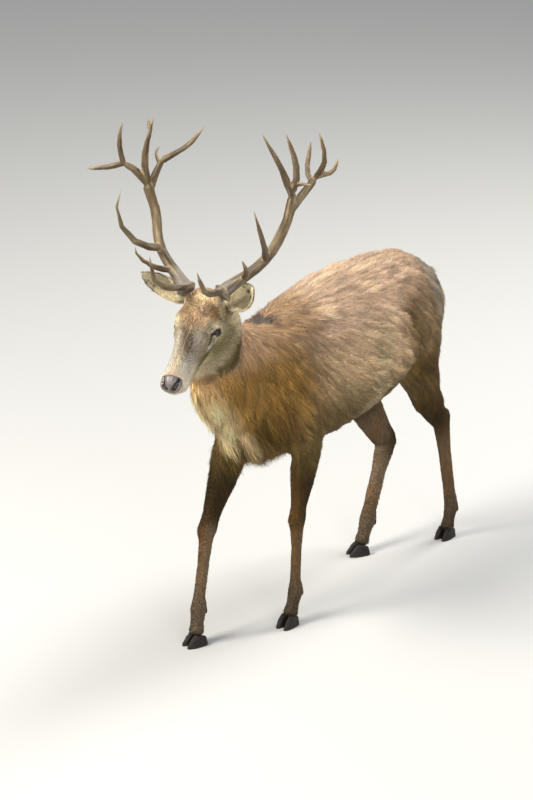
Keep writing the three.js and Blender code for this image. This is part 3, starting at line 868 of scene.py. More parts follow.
def leg_colour(points):
    """Lower limbs: dark grey-brown, warmer and lighter down the front partly as painted light, paler inside
    and at the fetlock.
    """
    colour = plain(LEG, len(points))
    for limb, at in JOINTS.items():
        here = along(points, at["bend"] + (0, 0, 0.25), at["hoof"], 0.1)
        pale = ramp((at["bend"] - points) @ at["out"], 0.004, 0.03)
        colour = lay(colour, 0.5 * here * pale, LEG_PALE)
        cannon = along(points, at["bend"] * 0.75 + at["fetlock"] * 0.25, at["fetlock"] + (0, 0, 0.04), 0.06)
        colour = lay(colour, (0.42 if limb in FORE else 0.6) * cannon, LEG_PALE)
        # A warm lighter strip down the front of each leg: partly the leg's own colour, partly painted light
        # on its front edge.
        ahead = along(points, at["bend"] + (0, -0.03, 0.18), at["fetlock"] + (0, -0.02, 0.05), 0.034)
        colour = lay(colour, 0.7 * ahead, LEG_FRONT_AND_LIGHT)
        colour = lay(colour, 0.7 * along(points, at["fetlock"] + (0, 0, 0.03), at["hoof"], 0.05), FOOT)
    return colour


# Markings of the face: colour, greatest share, start, end and radius, on both sides of the head's frame.
UPPER_MARKS = [
    # Dark olive cheeks: partly the cheek's own hair, partly painted shade with a greenish reflected cast.
    (CHEEK_AND_SHADE, 0.9, (0.07, 0.05, -0.05), (0.05, -0.1, -0.06), 0.05),
    (BRIDGE_PALE, 0.6, (0.03, -0.07, 0.035), (0.025, -0.21, 0.01), 0.02),
]
LOWER_MARKS = [
    (CHIN, 0.7, (0.055, -0.06, -0.022), None, 0.014),
    (MUZZLE, 0.85, (0.042, -0.17, -0.01), (0.036, -0.23, -0.02), 0.036),
    (CHIN, 0.9, (0.03, -0.2, -0.095), (0.0, -0.25, -0.08), 0.03),
    (CHIN, 0.9, (0.04, -0.2, -0.055), (0.018, -0.262, -0.043), 0.007),
    (CHIN, 0.7, (0.046, -0.12, -0.085), (0.042, -0.19, -0.09), 0.014),
]


def face_colour(points):
    """Head: red-brown forehead, dark bridge, pale rings round the eyes and muzzle, whitish lips and chin."""
    h = in_head(points)
    fold = np.abs(h) * (1, 0, 0) + h * (0, 1, 1)
    colour = plain(FACE, len(points))
    for over, share, start, end, radius in UPPER_MARKS:
        colour = lay(colour, share * along(fold, start, end, radius), over)
    colour = lay(colour, 0.85 * along(h, (-0.012, -0.05, 0.05), (0.018, -0.13, 0.03), 0.022), BRIDGE)
    colour = lay(colour, ramp(along(h, (0, 0.09, 0.08), (0, 0.0, 0.07), 0.07), 0.35, 0.8), FOREHEAD)
    colour = lay(colour, 0.8 * near(fold, (0.058, 0.03, 0.045), 0.02), RED_PATCH)
    ring = near(fold, (0.07, 0.0, 0.004), 0.036) * (1 - ramp(h[:, 2], 0.03, 0.06))
    colour = lay(colour, 0.85 * ring, EYE_PALE)
    for over, share, start, end, radius in LOWER_MARKS:
        colour = lay(colour, share * along(fold, start, end, radius), over)
    colour = lay(colour, 0.6 * near(h, (-0.008, -0.247, 0.025), 0.012), RED_PATCH)
    # Dark where the lips meet: the bare lip skin, and painted shade in the crease between the lips.
    colour = lay(colour, 0.8 * ramp(mouth_share(h, 0.004), 0.4, 0.8), BARE_DARK)
    colour = lay(colour, 0.9 * slit_share(h), BARE_DARK)
    # The bare nose on the skin: grey, partly painted sheen.
    colour = lay(colour, 0.9 * pad_share(h), NOSE_GREY_AND_SHEEN)
    for side in SIDES.values():
        _, distance, almond, facing = about_eye(h, side)
        lid = (1 - ramp(almond, 1.15, 1.4)) * (facing > 0.2)
        colour = lay(colour, lid * (distance < EYE_RADIUS + 0.008), BARE_DARK)
    return colour


def speck_share(points):
    """Where single dark tufts show among the pale ones: the bridge, the forehead and the cheeks."""
    h = in_head(points)
    share = 0.5 * along(h, (-0.015, -0.03, 0.05), (0.02, -0.15, 0.03), 0.03)
    share = np.maximum(share, 0.25 * near(h, (0, 0.05, 0.08), 0.07))
    share = np.maximum(share, 0.3 * near(np.abs(h), (0.06, 0.07, 0.06), 0.05) * (h[:, 2] < 0))
    return (0.05 + share) * head_share(points)


def coat_colour(points):
    """The whole coat's markings, the same for the skin and for the hair that grows from it."""
    colour = body_colour(points)
    on_leg = ramp(leg_share(points), 0.15, 0.85)[:, None]
    on_head = ramp(head_share(points), 0.1, 0.9)[:, None]
    colour = colour * (1 - on_leg) + leg_colour(points) * on_leg
    return colour * (1 - on_head) + face_colour(points) * on_head


# ---------------------------------------------------------------- how the hair grows


def lie_of(points, normals):
    """The way the hair lies: guides that pull by their nearness, made flat on the skin."""
    side = np.sign(points[:, 0] - MIDDLE_X)

    def way(x, y, z):
        return np.stack([side * x, 0 * side + y, 0 * side + z], 1)

    total = way(0, 0.9, -0.45)
    total += 3 * along(points, WITHERS, CROUP, 0.1)[:, None] * way(0, 1, 0)
    for limb, at in JOINTS.items():
        upper = (at["blade"], at["elbow"]) if limb in FORE else (at["hip"], at["gaskin"])
        total += 2.5 * along(points, *upper, 0.13)[:, None] * way(0, 0.4, -0.9)
    total += 3 * near(points, DOCK, 0.16)[:, None] * way(0.1, 0.2, -1)
    total += 4 * mane_share(points)[:, None] * way(0.1, 0.3, -0.95)
    total += 5 * along(points, POLL, WITHERS, 0.07)[:, None] * way(0.15, 0.8, -0.4)
    total += 4 * along(points, THROAT_TOP, BREAST, 0.12)[:, None] * way(0, -0.1, -1)
    total += 9 * leg_share(points)[:, None] * way(0, 0.08, -1)
    h = in_head(points)
    low = ramp(-h[:, 2], -0.02, 0.09)
    face = np.stack([0.25 * np.sign(h[:, 0]) * (1 - low), 0 * low + 1, 0.25 - 0.8 * low], 1)
    total += (12 * head_share(points))[:, None] * (face @ HEAD.T)
    for side_sign in SIDES.values():
        middle, out, *_ = eye_frame(side_sign)
        away = h - middle
        total += (30 * near(h, middle + out * EYE_RADIUS, 0.022))[:, None] * (unit(away) @ HEAD.T)
    return unit(flattened(total, normals))


def growth(points):
    """Length, width and lift of the short tufts: smallest on the face and feet, longest on the rump."""
    on_head, on_leg, mane = head_share(points), leg_share(points), mane_share(points)
    length, width, lift = BODY_TUFT
    length = length + 0.012 * near(points, DOCK, 0.15) + 0.025 * mane
    length += 0.01 * (1 - ramp(points[:, 2], 0.66, 0.74))
    width = width + 0.0002 * mane
    lift = lift + 0.02 * mane
    h = in_head(points)
    throat = near(h, (0, 0.06, -0.12), 0.16) * (1 - mane)
    length = mixed(length, THROAT_TUFT[0], throat)
    width = mixed(width, THROAT_TUFT[1], throat)
    sizes = [mixed(own, leg, on_leg) for own, leg in zip((length, width, lift), LEG_TUFT)]
    crown = near(h, (0, 0.07, 0.085), 0.055)
    tip = ramp(-h[:, 1], 0.15, 0.24)
    round_eye = near(np.abs(h), (EYE_OUT + 0.01, 0.0, 0.0), 0.028)
    face = (
        FACE_TUFT[0] + 0.007 * crown - 0.0045 * tip - 0.006 * round_eye,
        FACE_TUFT[1] + 0.0008 * crown - 0.0005 * tip - 0.0006 * round_eye,
        FACE_TUFT[2] + 0.14 * crown,
    )
    return [mixed(own, on_face, on_head) for own, on_face in zip(sizes, face)]


def crowding(points):
    """Short tufts to the square metre."""
    on_head, on_leg, mane = head_share(points), leg_share(points), mane_share(points)
    number = mixed(BODY_NUMBER * (1 - 0.6 * mane), LEG_NUMBER, on_leg)
    return mixed(number, FACE_NUMBER, on_head)


def roots_on(form, number_at, values):
    """Roots spread over a form, so many to the square metre, with the normals and the form's values there.

    The running sum of area times number is cut into equal steps with one root in each, and its place in
    the triangle is a + s(b - a) + t(c - a) with s + t folded back under 1.
    """
    mesh = form.mesh
    mesh.calc_loop_triangles()
    corners = read(mesh.loop_triangles, "vertices", np.int32, 3)
    a, b, c = (form.points[corners[:, k]] for k in range(3))
    area = lengths(np.cross(b - a, c - a)) / 2
    running = np.cumsum(area * number_at((a + b + c) / 3))
    count = int(running[-1])
    steps = (np.arange(count) + random.random(count)) * running[-1] / count
    chosen = np.minimum(np.searchsorted(running, steps), len(running) - 1)
    s, t = random.random((2, count))
    folded = s + t > 1
    s, t = np.where(folded, 1 - s, s), np.where(folded, 1 - t, t)
    corner = corners[chosen]
    shares = np.stack([1 - s - t, s, t], 1)

    def between(field):
        return np.einsum("ik,ik...->i...", shares, field[corner])

    return between(form.points), unit(between(form.normals)), between(values)


def turned_by(ways, normals, angles):
    """Directions turned about the normals by their own angles."""
    c, s = np.cos(angles)[:, None], np.sin(angles)[:, None]
    return ways * c + np.cross(normals, ways) * s


def tuft_mesh(name, rows, tips, colours, roots_uv):
    """One mesh of many closed tufts.

    rows is (tufts, rows, 3 corners, xyz): left, right and ridge of each section from the root up; the last
    section closes on the tip. colours is (tufts, rows + 1, rgb), from root to tip.
    """
    tufts, levels = rows.shape[:2]
    each = 3 * levels + 1
    points = np.concatenate([rows.reshape(tufts, -1, 3), tips[:, None]], 1)
    ring = ((1, 0), (2, 1), (0, 2))
    faces = [(0, 1, 2)]
    for level in range(levels - 1):
        for a, b in ring:
            a, b = 3 * level + a, 3 * level + b
            faces += [(a, b, b + 3), (a, b + 3, a + 3)]
    last = 3 * (levels - 1)
    faces += [(last + a, last + b, each - 1) for a, b in ring]
    faces = np.array(faces)
    corners = (faces[None] + each * np.arange(tufts)[:, None, None]).reshape(-1)
    mesh = bpy.data.meshes.new(name)
    mesh.vertices.add(tufts * each)
    mesh.vertices.foreach_set("co", points.astype(np.float32).ravel())
    mesh.loops.add(len(corners))
    mesh.loops.foreach_set("vertex_index", corners.astype(np.int32))
    mesh.polygons.add(len(corners) // 3)
    mesh.polygons.foreach_set("loop_start", np.arange(0, len(corners), 3, dtype=np.int32))
    mesh.update()
    shade = np.repeat(colours[:, :-1], 3, 1)
    shade = np.concatenate([shade, colours[:, -1:]], 1).reshape(-1, 3)
    paint(mesh, shade)
    across = np.append(np.tile([0.0, 1.0, 0.5], levels), 0.5)
    up = np.append(np.repeat(np.arange(levels) / levels, 3) + np.tile([0, 0, 0.1], levels), 1.0)
    local = np.stack([across, up], 1) * PATCH
    uv = (roots_uv[:, None] + local[None]).reshape(-1, 2)[corners]
    layer = mesh.uv_layers.new(name="OFBake")
    layer.uv.foreach_set("vector", uv.astype(np.float32).ravel())
    return mesh


def paint(mesh, colours):
    """Writes one colour a vertex to the attribute that the materials read."""
    attribute = mesh.color_attributes.new("Coat", "FLOAT_COLOR", "POINT")
    rgba = np.concatenate([np.clip(colours, 0, 1), np.ones((len(colours), 1))], 1)
    attribute.data.foreach_set("color", rgba.astype(np.float32).ravel())


def fitted(uv):
    """Places on a map, moved and scaled to fill it but for a rim as wide as a few tufts."""
    low, high = uv.min(0), uv.max(0)
    return MAP_RIM + (uv - low) / np.maximum(high - low, 1e-6) * (1 - 3 * MAP_RIM)


def shade_of(points, spread, streak=0.0):
    """The hair's colours: the markings at its root, lighter or darker from tuft to tuft and by the value
    given as streak, which paints shade between clumps of hair and the forehead's curl patches.
    """
    bright = np.exp(random.normal(0, spread, len(points)) + streak)
    bright = np.where(random.random(len(points)) < speck_share(points), 0.3 * bright, bright)
    warm = 1 + random.normal(0, 0.05, len(points))[:, None] * np.array([1, 0, -1])
    return coat_colour(points) * bright[:, None] * warm


def spikes(name, roots, normals, lie, length, width, lift, colour, uv):
    """Short tufts: each is a three-sided spike from a small triangle just under the skin to a point.

    tip = root + length (cos(lift) lie + sin(lift) normal).
    """
    side = np.cross(normals, lie)
    base = roots - normals * 0.0012
    half = (width / 2)[:, None]
    section = np.stack([base + side * half, base - side * half, base + normals * half * 1.1], 1)
    reach = length[:, None] * (lie * np.cos(lift)[:, None] + normals * np.sin(lift)[:, None])
    # Painted shade among the hairs: each tuft is darker at its root and lighter at its tip.
    root_shaded_colours = np.stack([0.75 * colour, 1.1 * colour], 1)
    return tuft_mesh(name, section[:, None], roots + reach, root_shaded_colours, fitted(uv))


def short_coat(name, roots, normals, streak, swirl, uv, spread):
    """The short tufts of a region, sized by growth and gathered by the streaks; they curl on the forehead."""
    length, width, lift = growth(roots)
    length = length * random.uniform(0.75, 1.25, len(roots)) * (1 + 0.12 * streak)
    lift = lift * random.uniform(0.6, 1.4, len(roots)) * np.clip(1 + 0.35 * streak, 0.3, 2)
    curl = near(in_head(roots), (0, 0.045, 0.08), 0.06)
    angle = random.normal(0, 0.13, len(roots)) + 0.1 * streak + 1.3 * curl * swirl
    lie = turned_by(lie_of(roots, normals), normals, angle)
    # Tufts are painted lighter in the streaks' clumps and darker between them, as painted shade between
    # clumps; on the forehead the curls give lighter and darker patches.
    colour = shade_of(roots, spread, 0.22 * streak + 0.42 * curl * np.clip(swirl, -2, 1))
    return spikes(name, roots, normals, lie, length, width, lift, colour, uv)


def locks(name, roots, normals, streak, uv, length, width, lift):
    """Long hair: a three-sided strand carried along a path that follows the lie and then bends to the ground.

    At share t of its length the way is lie + lift (1 - 1.6 t) normal + droop t down + sway t aside, and the
    half width is width / 2 times the root of 1 - t.
    """
    count = len(roots)
    lie = turned_by(lie_of(roots, normals), normals, random.normal(0, 0.1, count) + 0.12 * streak)
    side = np.cross(normals, lie)
    sway = random.normal(0, 0.14, count)[:, None] + 0.22 * streak[:, None]
    length = length * random.uniform(0.6, 1.15, count) * (1 + 0.08 * streak)
    lift = (lift * random.uniform(0.5, 1.5, count) * np.clip(1 + 0.4 * streak, 0.2, 2.2))[:, None]
    down = np.array([0, 0, -1])
    at = roots - normals * 0.002
    sections = []
    for level in range(LOCK_LEVELS):
        t = level / LOCK_LEVELS
        half = (width / 2 * np.sqrt(1 - t))[:, None]
        sections.append(np.stack([at + side * half, at - side * half, at + normals * half * 0.9], 1))
        way = unit(lie + lift * (1 - 1.6 * t) * normals + LOCK_DROOP * t * down + sway * t * side)
        at = at + way * (length / LOCK_LEVELS)[:, None]
    # Painted shade between the clumps: locks are lighter in the streaks' clumps and darker between them, and
    # where the streak is low they are darkened further, less so on pale hair.
    colour = shade_of(roots, 0.16, 0.3 * streak)
    gap_shade = 1 - 0.75 * ramp(colour[:, 0], 0.4, 0.8)
    colour = lay(colour, 0.6 * gap_shade * ramp(-streak, 0.1, 1.6), DARK_HAIR_AND_SHADE)
    # Painted shade among the hairs: each lock is darker at its root and lighter towards its tip.
    root_shaded_colours = [colour * (0.75 + 0.35 * level / LOCK_LEVELS) for level in range(LOCK_LEVELS + 1)]
    return tuft_mesh(name, np.stack(sections, 1), at, np.stack(root_shaded_colours, 1), fitted(uv))


def body_map(points):
    """The trunk and neck unrolled: the angle about a level line through the trunk, and the way along it."""
    middle = inside("trunk", 0.5, 0.5, 0.48)
    angle = np.arctan2(points[:, 0] - middle[0], points[:, 2] - middle[2])
    return np.stack([angle / (2 * np.pi), points[:, 1] / 2], 1)


def head_map(points):
    """The head unrolled: the angle about its length, and the way from the nose to the poll."""
    h = in_head(points)
    return np.stack([np.arctan2(h[:, 0], h[:, 2] + 0.02) / (2 * np.pi), h[:, 1] * 2], 1)


def leg_map(points):
    """The four lower limbs unrolled side by side: the angle about each limb's own line, and the height."""
    uv = np.zeros((len(points), 2))
    closest = np.full(len(points), np.inf)
    for number, at in enumerate(JOINTS.values()):
        above = at["bend"] + (at["bend"] - at["fetlock"]) * (0, 0, 1)
        path = np.array([at["hoof"], at["fetlock"], at["bend"], above])
        x, y = (np.interp(points[:, 2], path[:, 2], path[:, k]) for k in (0, 1))
        dx, dy = points[:, 0] - x, points[:, 1] - y
        apart = np.hypot(dx, dy)
        nearer = apart < closest
        closest = np.where(nearer, apart, closest)
        turn = 0.98 * (0.5 + np.arctan2(dx, -dy) / (2 * np.pi))
        uv[nearer] = np.stack([number / 4 + turn / 4, points[:, 2]], 1)[nearer]
    return uv


def is_bare(points):
    """True where no hair grows: between the lids, on the nose, and along the line where the lips meet."""
    h = in_head(points)
    bare = (pad_share(h) > 0.5) | (mouth_share(h, 0.002) > 0.5)
    for side in SIDES.values():
        _, distance, almond, facing = about_eye(h, side)
        bare |= (almond < 1.5) & (distance < EYE_RADIUS + 0.01) & (facing > 0)
    return bare


# ---------------------------------------------------------------- materials


def new_group(name, inputs, outputs):
    """A shader node group with named inputs and outputs; returns it with its input and output nodes."""
    tree = bpy.data.node_groups.new(name, "ShaderNodeTree")
    for label, kind, value in inputs:
        tree.interface.new_socket(label, in_out="INPUT", socket_type=kind).default_value = value
    for label, kind in outputs:
        tree.interface.new_socket(label, in_out="OUTPUT", socket_type=kind)
    return tree, tree.nodes.new("NodeGroupInput"), tree.nodes.new("NodeGroupOutput")


def join(tree, inputs, values):
    """Gives each named input its value: a link where the value is a socket, else a constant."""
    for name, value in values.items():
        if isinstance(value, bpy.types.NodeSocket):
            tree.links.new(value, inputs[name])
        else:
            inputs[name].default_value = value


def add_node(tree, kind, values=None, **settings):
    """A shader node with its settings, and its inputs joined to the values."""
    made = tree.nodes.new(kind)
    for name, value in settings.items():
        setattr(made, name, value)
    join(tree, made.inputs, values or {})
    return made


def maths(tree, operation, a, b):
    """The output of a maths node on two values."""
    return add_node(tree, "ShaderNodeMath", {0: a, 1: b}, operation=operation).outputs[0]


def tone_group():
    """Colour made lighter and darker in soft patches and in fine specks."""
    colour, number = "NodeSocketColor", "NodeSocketFloat"
    inputs = [("Color", colour, (1, 1, 1, 1)), ("Patch Scale", number, 7.0), ("Patch", number, 0.3)]
    inputs += [("Speck Scale", number, 90.0), ("Speck", number, 0.3)]
    tree, given, out = new_group("tone", inputs, [("Color", colour)])
    place = add_node(tree, "ShaderNodeTexCoord").outputs["Object"]
    value = 1.0
    for label in ("Patch", "Speck"):
        noise = {"Vector": place, "Scale": given.outputs[label + " Scale"], "Detail": 2.5}
        fine = add_node(tree, "ShaderNodeTexNoise", noise).outputs["Fac"]
        change = maths(tree, "MULTIPLY", maths(tree, "SUBTRACT", fine, 0.5), given.outputs[label])
        value = maths(tree, "ADD", value, change)
    changed = add_node(tree, "ShaderNodeHueSaturation", {"Color": given.outputs["Color"], "Value": value})
    join(tree, out.inputs, {"Color": changed.outputs["Color"]})
    return tree


def grain_group():
    """A height of fine ridges: noise drawn out along one axis of the object by its three scales."""
    inputs = [("Scales", "NodeSocketVector", (100, 100, 100)), ("Detail", "NodeSocketFloat", 3.0)]
    tree, given, out = new_group("grain", inputs, [("Height", "NodeSocketFloat")])
    place = add_node(tree, "ShaderNodeTexCoord").outputs["Object"]
    both = {0: place, 1: given.outputs["Scales"]}
    drawn = add_node(tree, "ShaderNodeVectorMath", both, operation="MULTIPLY")
    noise = {"Vector": drawn.outputs[0], "Scale": 1.0, "Detail": given.outputs["Detail"]}
    fine = add_node(tree, "ShaderNodeTexNoise", noise)
    join(tree, out.inputs, {"Height": fine.outputs["Fac"]})
    return tree


TONE = tone_group()
GRAIN = grain_group()


def finish_of(name, shine, tone, grain, bump, detail=3.0, wet=None):
    """A material: the piece's own colours through the tone group, and the grain group as its bump.

    shine is roughness and specular level; tone is patch scale and depth, then speck scale and depth; grain
    is the ridges' three scales; bump is strength and height in metres.
    """
    material = bpy.data.materials.new(name)
    material.use_nodes = True
    tree = material.node_tree
    shader = tree.nodes["Principled BSDF"]
    join(tree, shader.inputs, {"Roughness": shine[0], "Specular IOR Level": shine[1], **(wet or {})})
    own = add_node(tree, "ShaderNodeVertexColor", layer_name="Coat").outputs["Color"]
    labels = ("Patch Scale", "Patch", "Speck Scale", "Speck")
    toned = add_node(tree, "ShaderNodeGroup", node_tree=TONE)
    join(tree, toned.inputs, {"Color": own, **dict(zip(labels, tone))})
    join(tree, shader.inputs, {"Base Color": toned.outputs["Color"]})
    if grain:
        ridges = add_node(tree, "ShaderNodeGroup", node_tree=GRAIN)
        join(tree, ridges.inputs, {"Scales": grain, "Detail": detail})
        height = {"Height": ridges.outputs["Height"], "Strength": bump[0], "Distance": bump[1]}
        join(tree, shader.inputs, {"Normal": add_node(tree, "ShaderNodeBump", height).outputs["Normal"]})
    return material


WET = {"Coat Weight": 0.3, "Coat Roughness": 0.15}
HAIR = finish_of("hair", (0.74, 0.2), (9.0, 0.3, 150.0, 0.3), None, None)
UNDERCOAT = finish_of("undercoat", (0.9, 0.12), (9.0, 0.3, 150.0, 0.5), (320, 60, 140), (0.8, 0.003))
BONE = finish_of("antler", (0.5, 0.42), (22.0, 0.35, 260.0, 0.35), (300, 300, 300), (0.4, 0.001))
HORN = finish_of("hoof", (0.55, 0.3), (30.0, 0.5, 220.0, 0.4), (60, 60, 520), (0.5, 0.001))
NOSE_SKIN = finish_of(
    "nose_skin", (0.34, 0.5), (70.0, 0.4, 600.0, 0.5), (620, 620, 620), (0.4, 0.0008), detail=0.0, wet=WET
)
LID_SKIN = finish_of("lid_skin", (0.4, 0.45), (60, 0.3, 500, 0.3), (600, 600, 600), (0.4, 0.0006))
EYE_GLASS = finish_of("eye", (0.05, 0.5), (200.0, 0.3, 900.0, 0.3), None, None)

# ---------------------------------------------------------------- the pieces


def add_piece(mesh, material, replaced=()):
    """Makes a mesh a piece of the model: its material, its body and the nodes it stands for."""
    piece = placed(mesh.name, mesh)
    mesh.materials.clear()
    mesh.materials.append(material)
    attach(piece, "root")
    if replaced:
        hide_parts(*replaced)
    return piece


def add_painted(mesh, name, colours, material, replaced):
    """Names and paints a mesh and makes it a piece."""
    mesh.name = name
    paint(mesh, colours)
    add_piece(mesh, material, replaced)


def add_skin():
    """The skin, painted a little darker than the hair over it, as painted shade under the coat."""
    form = shaped_skin()
    add_painted(form.mesh, "skin", SKIN_PAINTED_SHADE * coat_colour(form.points), UNDERCOAT, FLESH)
    return form


def add_coat(form):
    """Short tufts over the whole skin, in pieces by region, and long locks over the neck and breast."""
    streak = form.streaks(lie_of(form.points, form.normals), SKIN_GRID * 1.1, STREAK_PASSES)
    streak = np.clip(streak, -2.2, 2.2) * (1 - 0.6 * head_share(form.points))
    streak = streak * (1 - 0.7 * leg_share(form.points))
    roots, normals, fields = roots_on(form, crowding, np.stack([streak, form.patches(CURL_PASSES)], 1))
    haired = ~is_bare(roots)
    roots, normals, (gather, swirl) = roots[haired], normals[haired], fields[haired].T
    on_head = head_share(roots) > 0.5
    on_leg = (leg_share(roots) > 0.5) & ~on_head
    body = ~on_head & ~on_leg
    left_face = in_head(roots)[:, 0] > 0
    left = roots[:, 0] > MIDDLE_X
    ahead = roots[:, 1] < centre("trunk")[1] - 0.1
    regions = {  # which roots, on which map, and how much the tufts' brightness varies
        "coat_head_left": (on_head & left_face, head_map, 0.14),
        "coat_head_right": (on_head & ~left_face, head_map, 0.14),
        "coat_fore_legs": (on_leg & ahead, leg_map, 0.16),
        "coat_hind_legs": (on_leg & ~ahead, leg_map, 0.16),
        "coat_front_left": (body & left & ahead, body_map, 0.15),
        "coat_front_right": (body & ~left & ahead, body_map, 0.15),
        "coat_rear_left": (body & left & ~ahead, body_map, 0.15),
        "coat_rear_right": (body & ~left & ~ahead, body_map, 0.15),
    }
    for name, (chosen, unrolled, spread) in regions.items():
        at = roots[chosen]
        shape = short_coat(name, at, normals[chosen], gather[chosen], swirl[chosen], unrolled(at), spread)
        add_piece(shape, HAIR)

    roots, normals, gather = roots_on(form, lambda points: MANE_NUMBER * mane_share(points), streak)
    left = roots[:, 0] > MIDDLE_X
    breast = roots[:, 2] < from_head((0, 0, -0.2))[2] - 0.08
    regions = {
        "mane_left": left & ~breast,
        "mane_right": ~left & ~breast,
        "breast_left": left & breast,
        "breast_right": ~left & breast,
    }
    for name, chosen in regions.items():
        at = roots[chosen]
        low = 1 - ramp(at[:, 2], 0.82, 1.02)
        ahead = along(at, THROAT_TOP, BREAST, 0.2)
        length = LOCK_LENGTH + LOCK_LOW_LENGTH * low + LOCK_FRONT_LENGTH * ahead
        width = LOCK_WIDTH - LOCK_FRONT_THINNER * ahead
        lift = 0.045 + 0.12 * low * ahead
        shape = locks(name, at, normals[chosen], gather[chosen], body_map(at), length, width, lift)
        add_piece(shape, HAIR)


def ear_axes(points, side):
    """An ear's middle and its directions from root to tip, across, and out of its opening.

    They are the longest, middle and shortest axes of its points, with their signs set by the head.
    """
    middle = points.mean(0)
    long, _, opening = np.linalg.svd(points - middle, full_matrices=False)[2]
    long = long * np.sign(long @ (middle - POLL))
    opening = opening * np.sign(opening @ HEAD @ np.array([0.3 * side, -1, 0]))
    return middle, long, np.cross(opening, long), opening


def add_ear(name, side):
    """An ear: the node's own shape smoothed, cream in the cup with painted shade deep in it, dark at the rim,
    haired on both faces.
    """
    form = Form(fused(["ear_" + name], EAR_GRID))
    form.smooth(6)
    form.swell(np.full(len(form.points), -0.0012))
    middle, long, across, opening = ear_axes(form.points, side)
    mean_normal = form.normals
    for _ in range(5):
        mean_normal = form.around(mean_normal)
    folded = ramp(1 - lengths(mean_normal), 0.1, 0.4)
    cupped = ramp(unit(mean_normal) @ opening, -0.05, 0.35)

    reach = (form.points - middle) @ long
    share = (reach - reach.min()) / np.ptp(reach)
    off = (form.points - middle) @ across
    colour = plain(EAR_OUTSIDE, len(share))
    colour = lay(colour, 0.5 * (1 - share), FACE)
    colour = lay(colour, cupped, EAR_INSIDE)
    # Painted shade deep in the cup, near its base.
    shaded_hollow = cupped * np.exp(-((off / 0.009) ** 2)) * (1 - ramp(share, 0.3, 0.6))
    colour = lay(colour, 0.6 * shaded_hollow, DARK_HAIR_AND_SHADE)
    colour = lay(colour, 0.85 * ramp(folded, 0.3, 0.8) * ramp(share, 0.2, 0.45), EAR_EDGE)
    # The ear's skin is painted darker than its hair, as painted shade under the hair.
    add_painted(form.mesh, "ear_skin_" + name, 0.8 * colour, UNDERCOAT, ["ear_" + name])

    fields = np.column_stack([colour, cupped, share, folded])
    roots, normals, fields = roots_on(form, lambda points: np.full(len(points), EAR_NUMBER), fields)
    keep = random.random(len(roots)) < 1 - 0.45 * fields[:, 3]
    roots, normals, fields = roots[keep], normals[keep], fields[keep]
    colour, cupped, share = fields[:, :3], fields[:, 3], fields[:, 4]
    off = (roots - middle) @ across
    inward = -np.sign(off)[:, None] * across
    lie = unit(flattened(long + cupped[:, None] * 0.7 * inward, normals))
    lie = turned_by(lie, normals, random.normal(0, 0.2, len(roots)))
    length = EAR_HAIR + EAR_CUP_HAIR * cupped * (1 - 0.6 * share)
    length = length * random.uniform(0.7, 1.3, len(roots))
    width = 0.0019 + 0.0003 * cupped
    lift = 0.14 + 0.16 * cupped
    colour = colour * np.exp(random.normal(0, 0.16, len(roots)))[:, None]
    uv = np.stack([off / 0.1 + (cupped > 0.5), share], 1)
    mesh = spikes("ear_coat_" + name, roots, normals, lie, length, width, lift, colour, uv)
    add_piece(mesh, HAIR)


def add_antler(name, side):
    """An antler: its nodes as one horn, with grooves drawn out along it and pearls near the burr.

    The horn's direction at a vertex is the one that the normals round it have least of, and its radius
    there is the distance across that direction from the mean of many neighbours.
    """
    nodes = sorted(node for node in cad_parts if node.startswith("antler_" + name))
    form = Form(fused(nodes, ANTLER_GRID))
    form.smooth(10)
    spread = np.stack([form.normals[:, i] * form.normals[:, j] for i in range(3) for j in range(3)], 1)
    core = form.points
    for number in range(CORE_PASSES):
        core = form.around(core)
        spread = form.around(spread) if number < WAY_PASSES else spread
    ways = np.linalg.eigh(spread.reshape(-1, 3, 3))[1][:, :, 0]
    radius = lengths(flattened(form.points - core, ways))
    grooves = form.streaks(ways, ANTLER_GRID * 2.0, GROOVE_PASSES)
    lumps = random.standard_normal(len(form.points))[:, None]
    for _ in range(3):
        lumps = form.around(lumps)
    lumps = np.clip(lumps[:, 0] / lumps.std(), 0, 2.5)

    burr = from_head((side * 0.06, 0.088, 0.09))
    rough = near(form.points, burr, 0.06)
    tip = 1 - ramp(radius, 0.0035, 0.0065)
    depth = 0.001 * (1 - 0.85 * tip)
    height = depth * np.clip(grooves, -2, 1.6) + 0.0014 * lumps * rough
    form.swell(height + 0.003 * near(form.points, burr, 0.03))
    form.smooth(2)
    # Painted shade: faces turned downwards are darkened.
    under = ramp(-form.normals[:, 2], -0.25, 0.7)
    dark = ramp(-grooves, -0.2, 1.4)
    colour = plain(ANTLER_TAN, len(dark))
    colour = lay(colour, 0.6 * ramp(near(form.points, burr, 0.1), 0.2, 0.8), ANTLER_GREY)
    colour = lay(colour, 0.45 * ramp(grooves, 0.5, 1.8), ANTLER_PALE)
    # Dark in the grooves and painted shade on the faces turned down, less towards the tips.
    colour = lay(colour, 0.8 * (1 - (1 - 0.85 * dark) * (1 - 0.75 * under)) * (1 - 0.6 * tip), ANTLER_GROOVES_AND_SHADE)
    colour = lay(colour, 0.55 * tip, ANTLER_PALE)
    add_painted(form.mesh, "antler_" + name, colour, BONE, nodes)


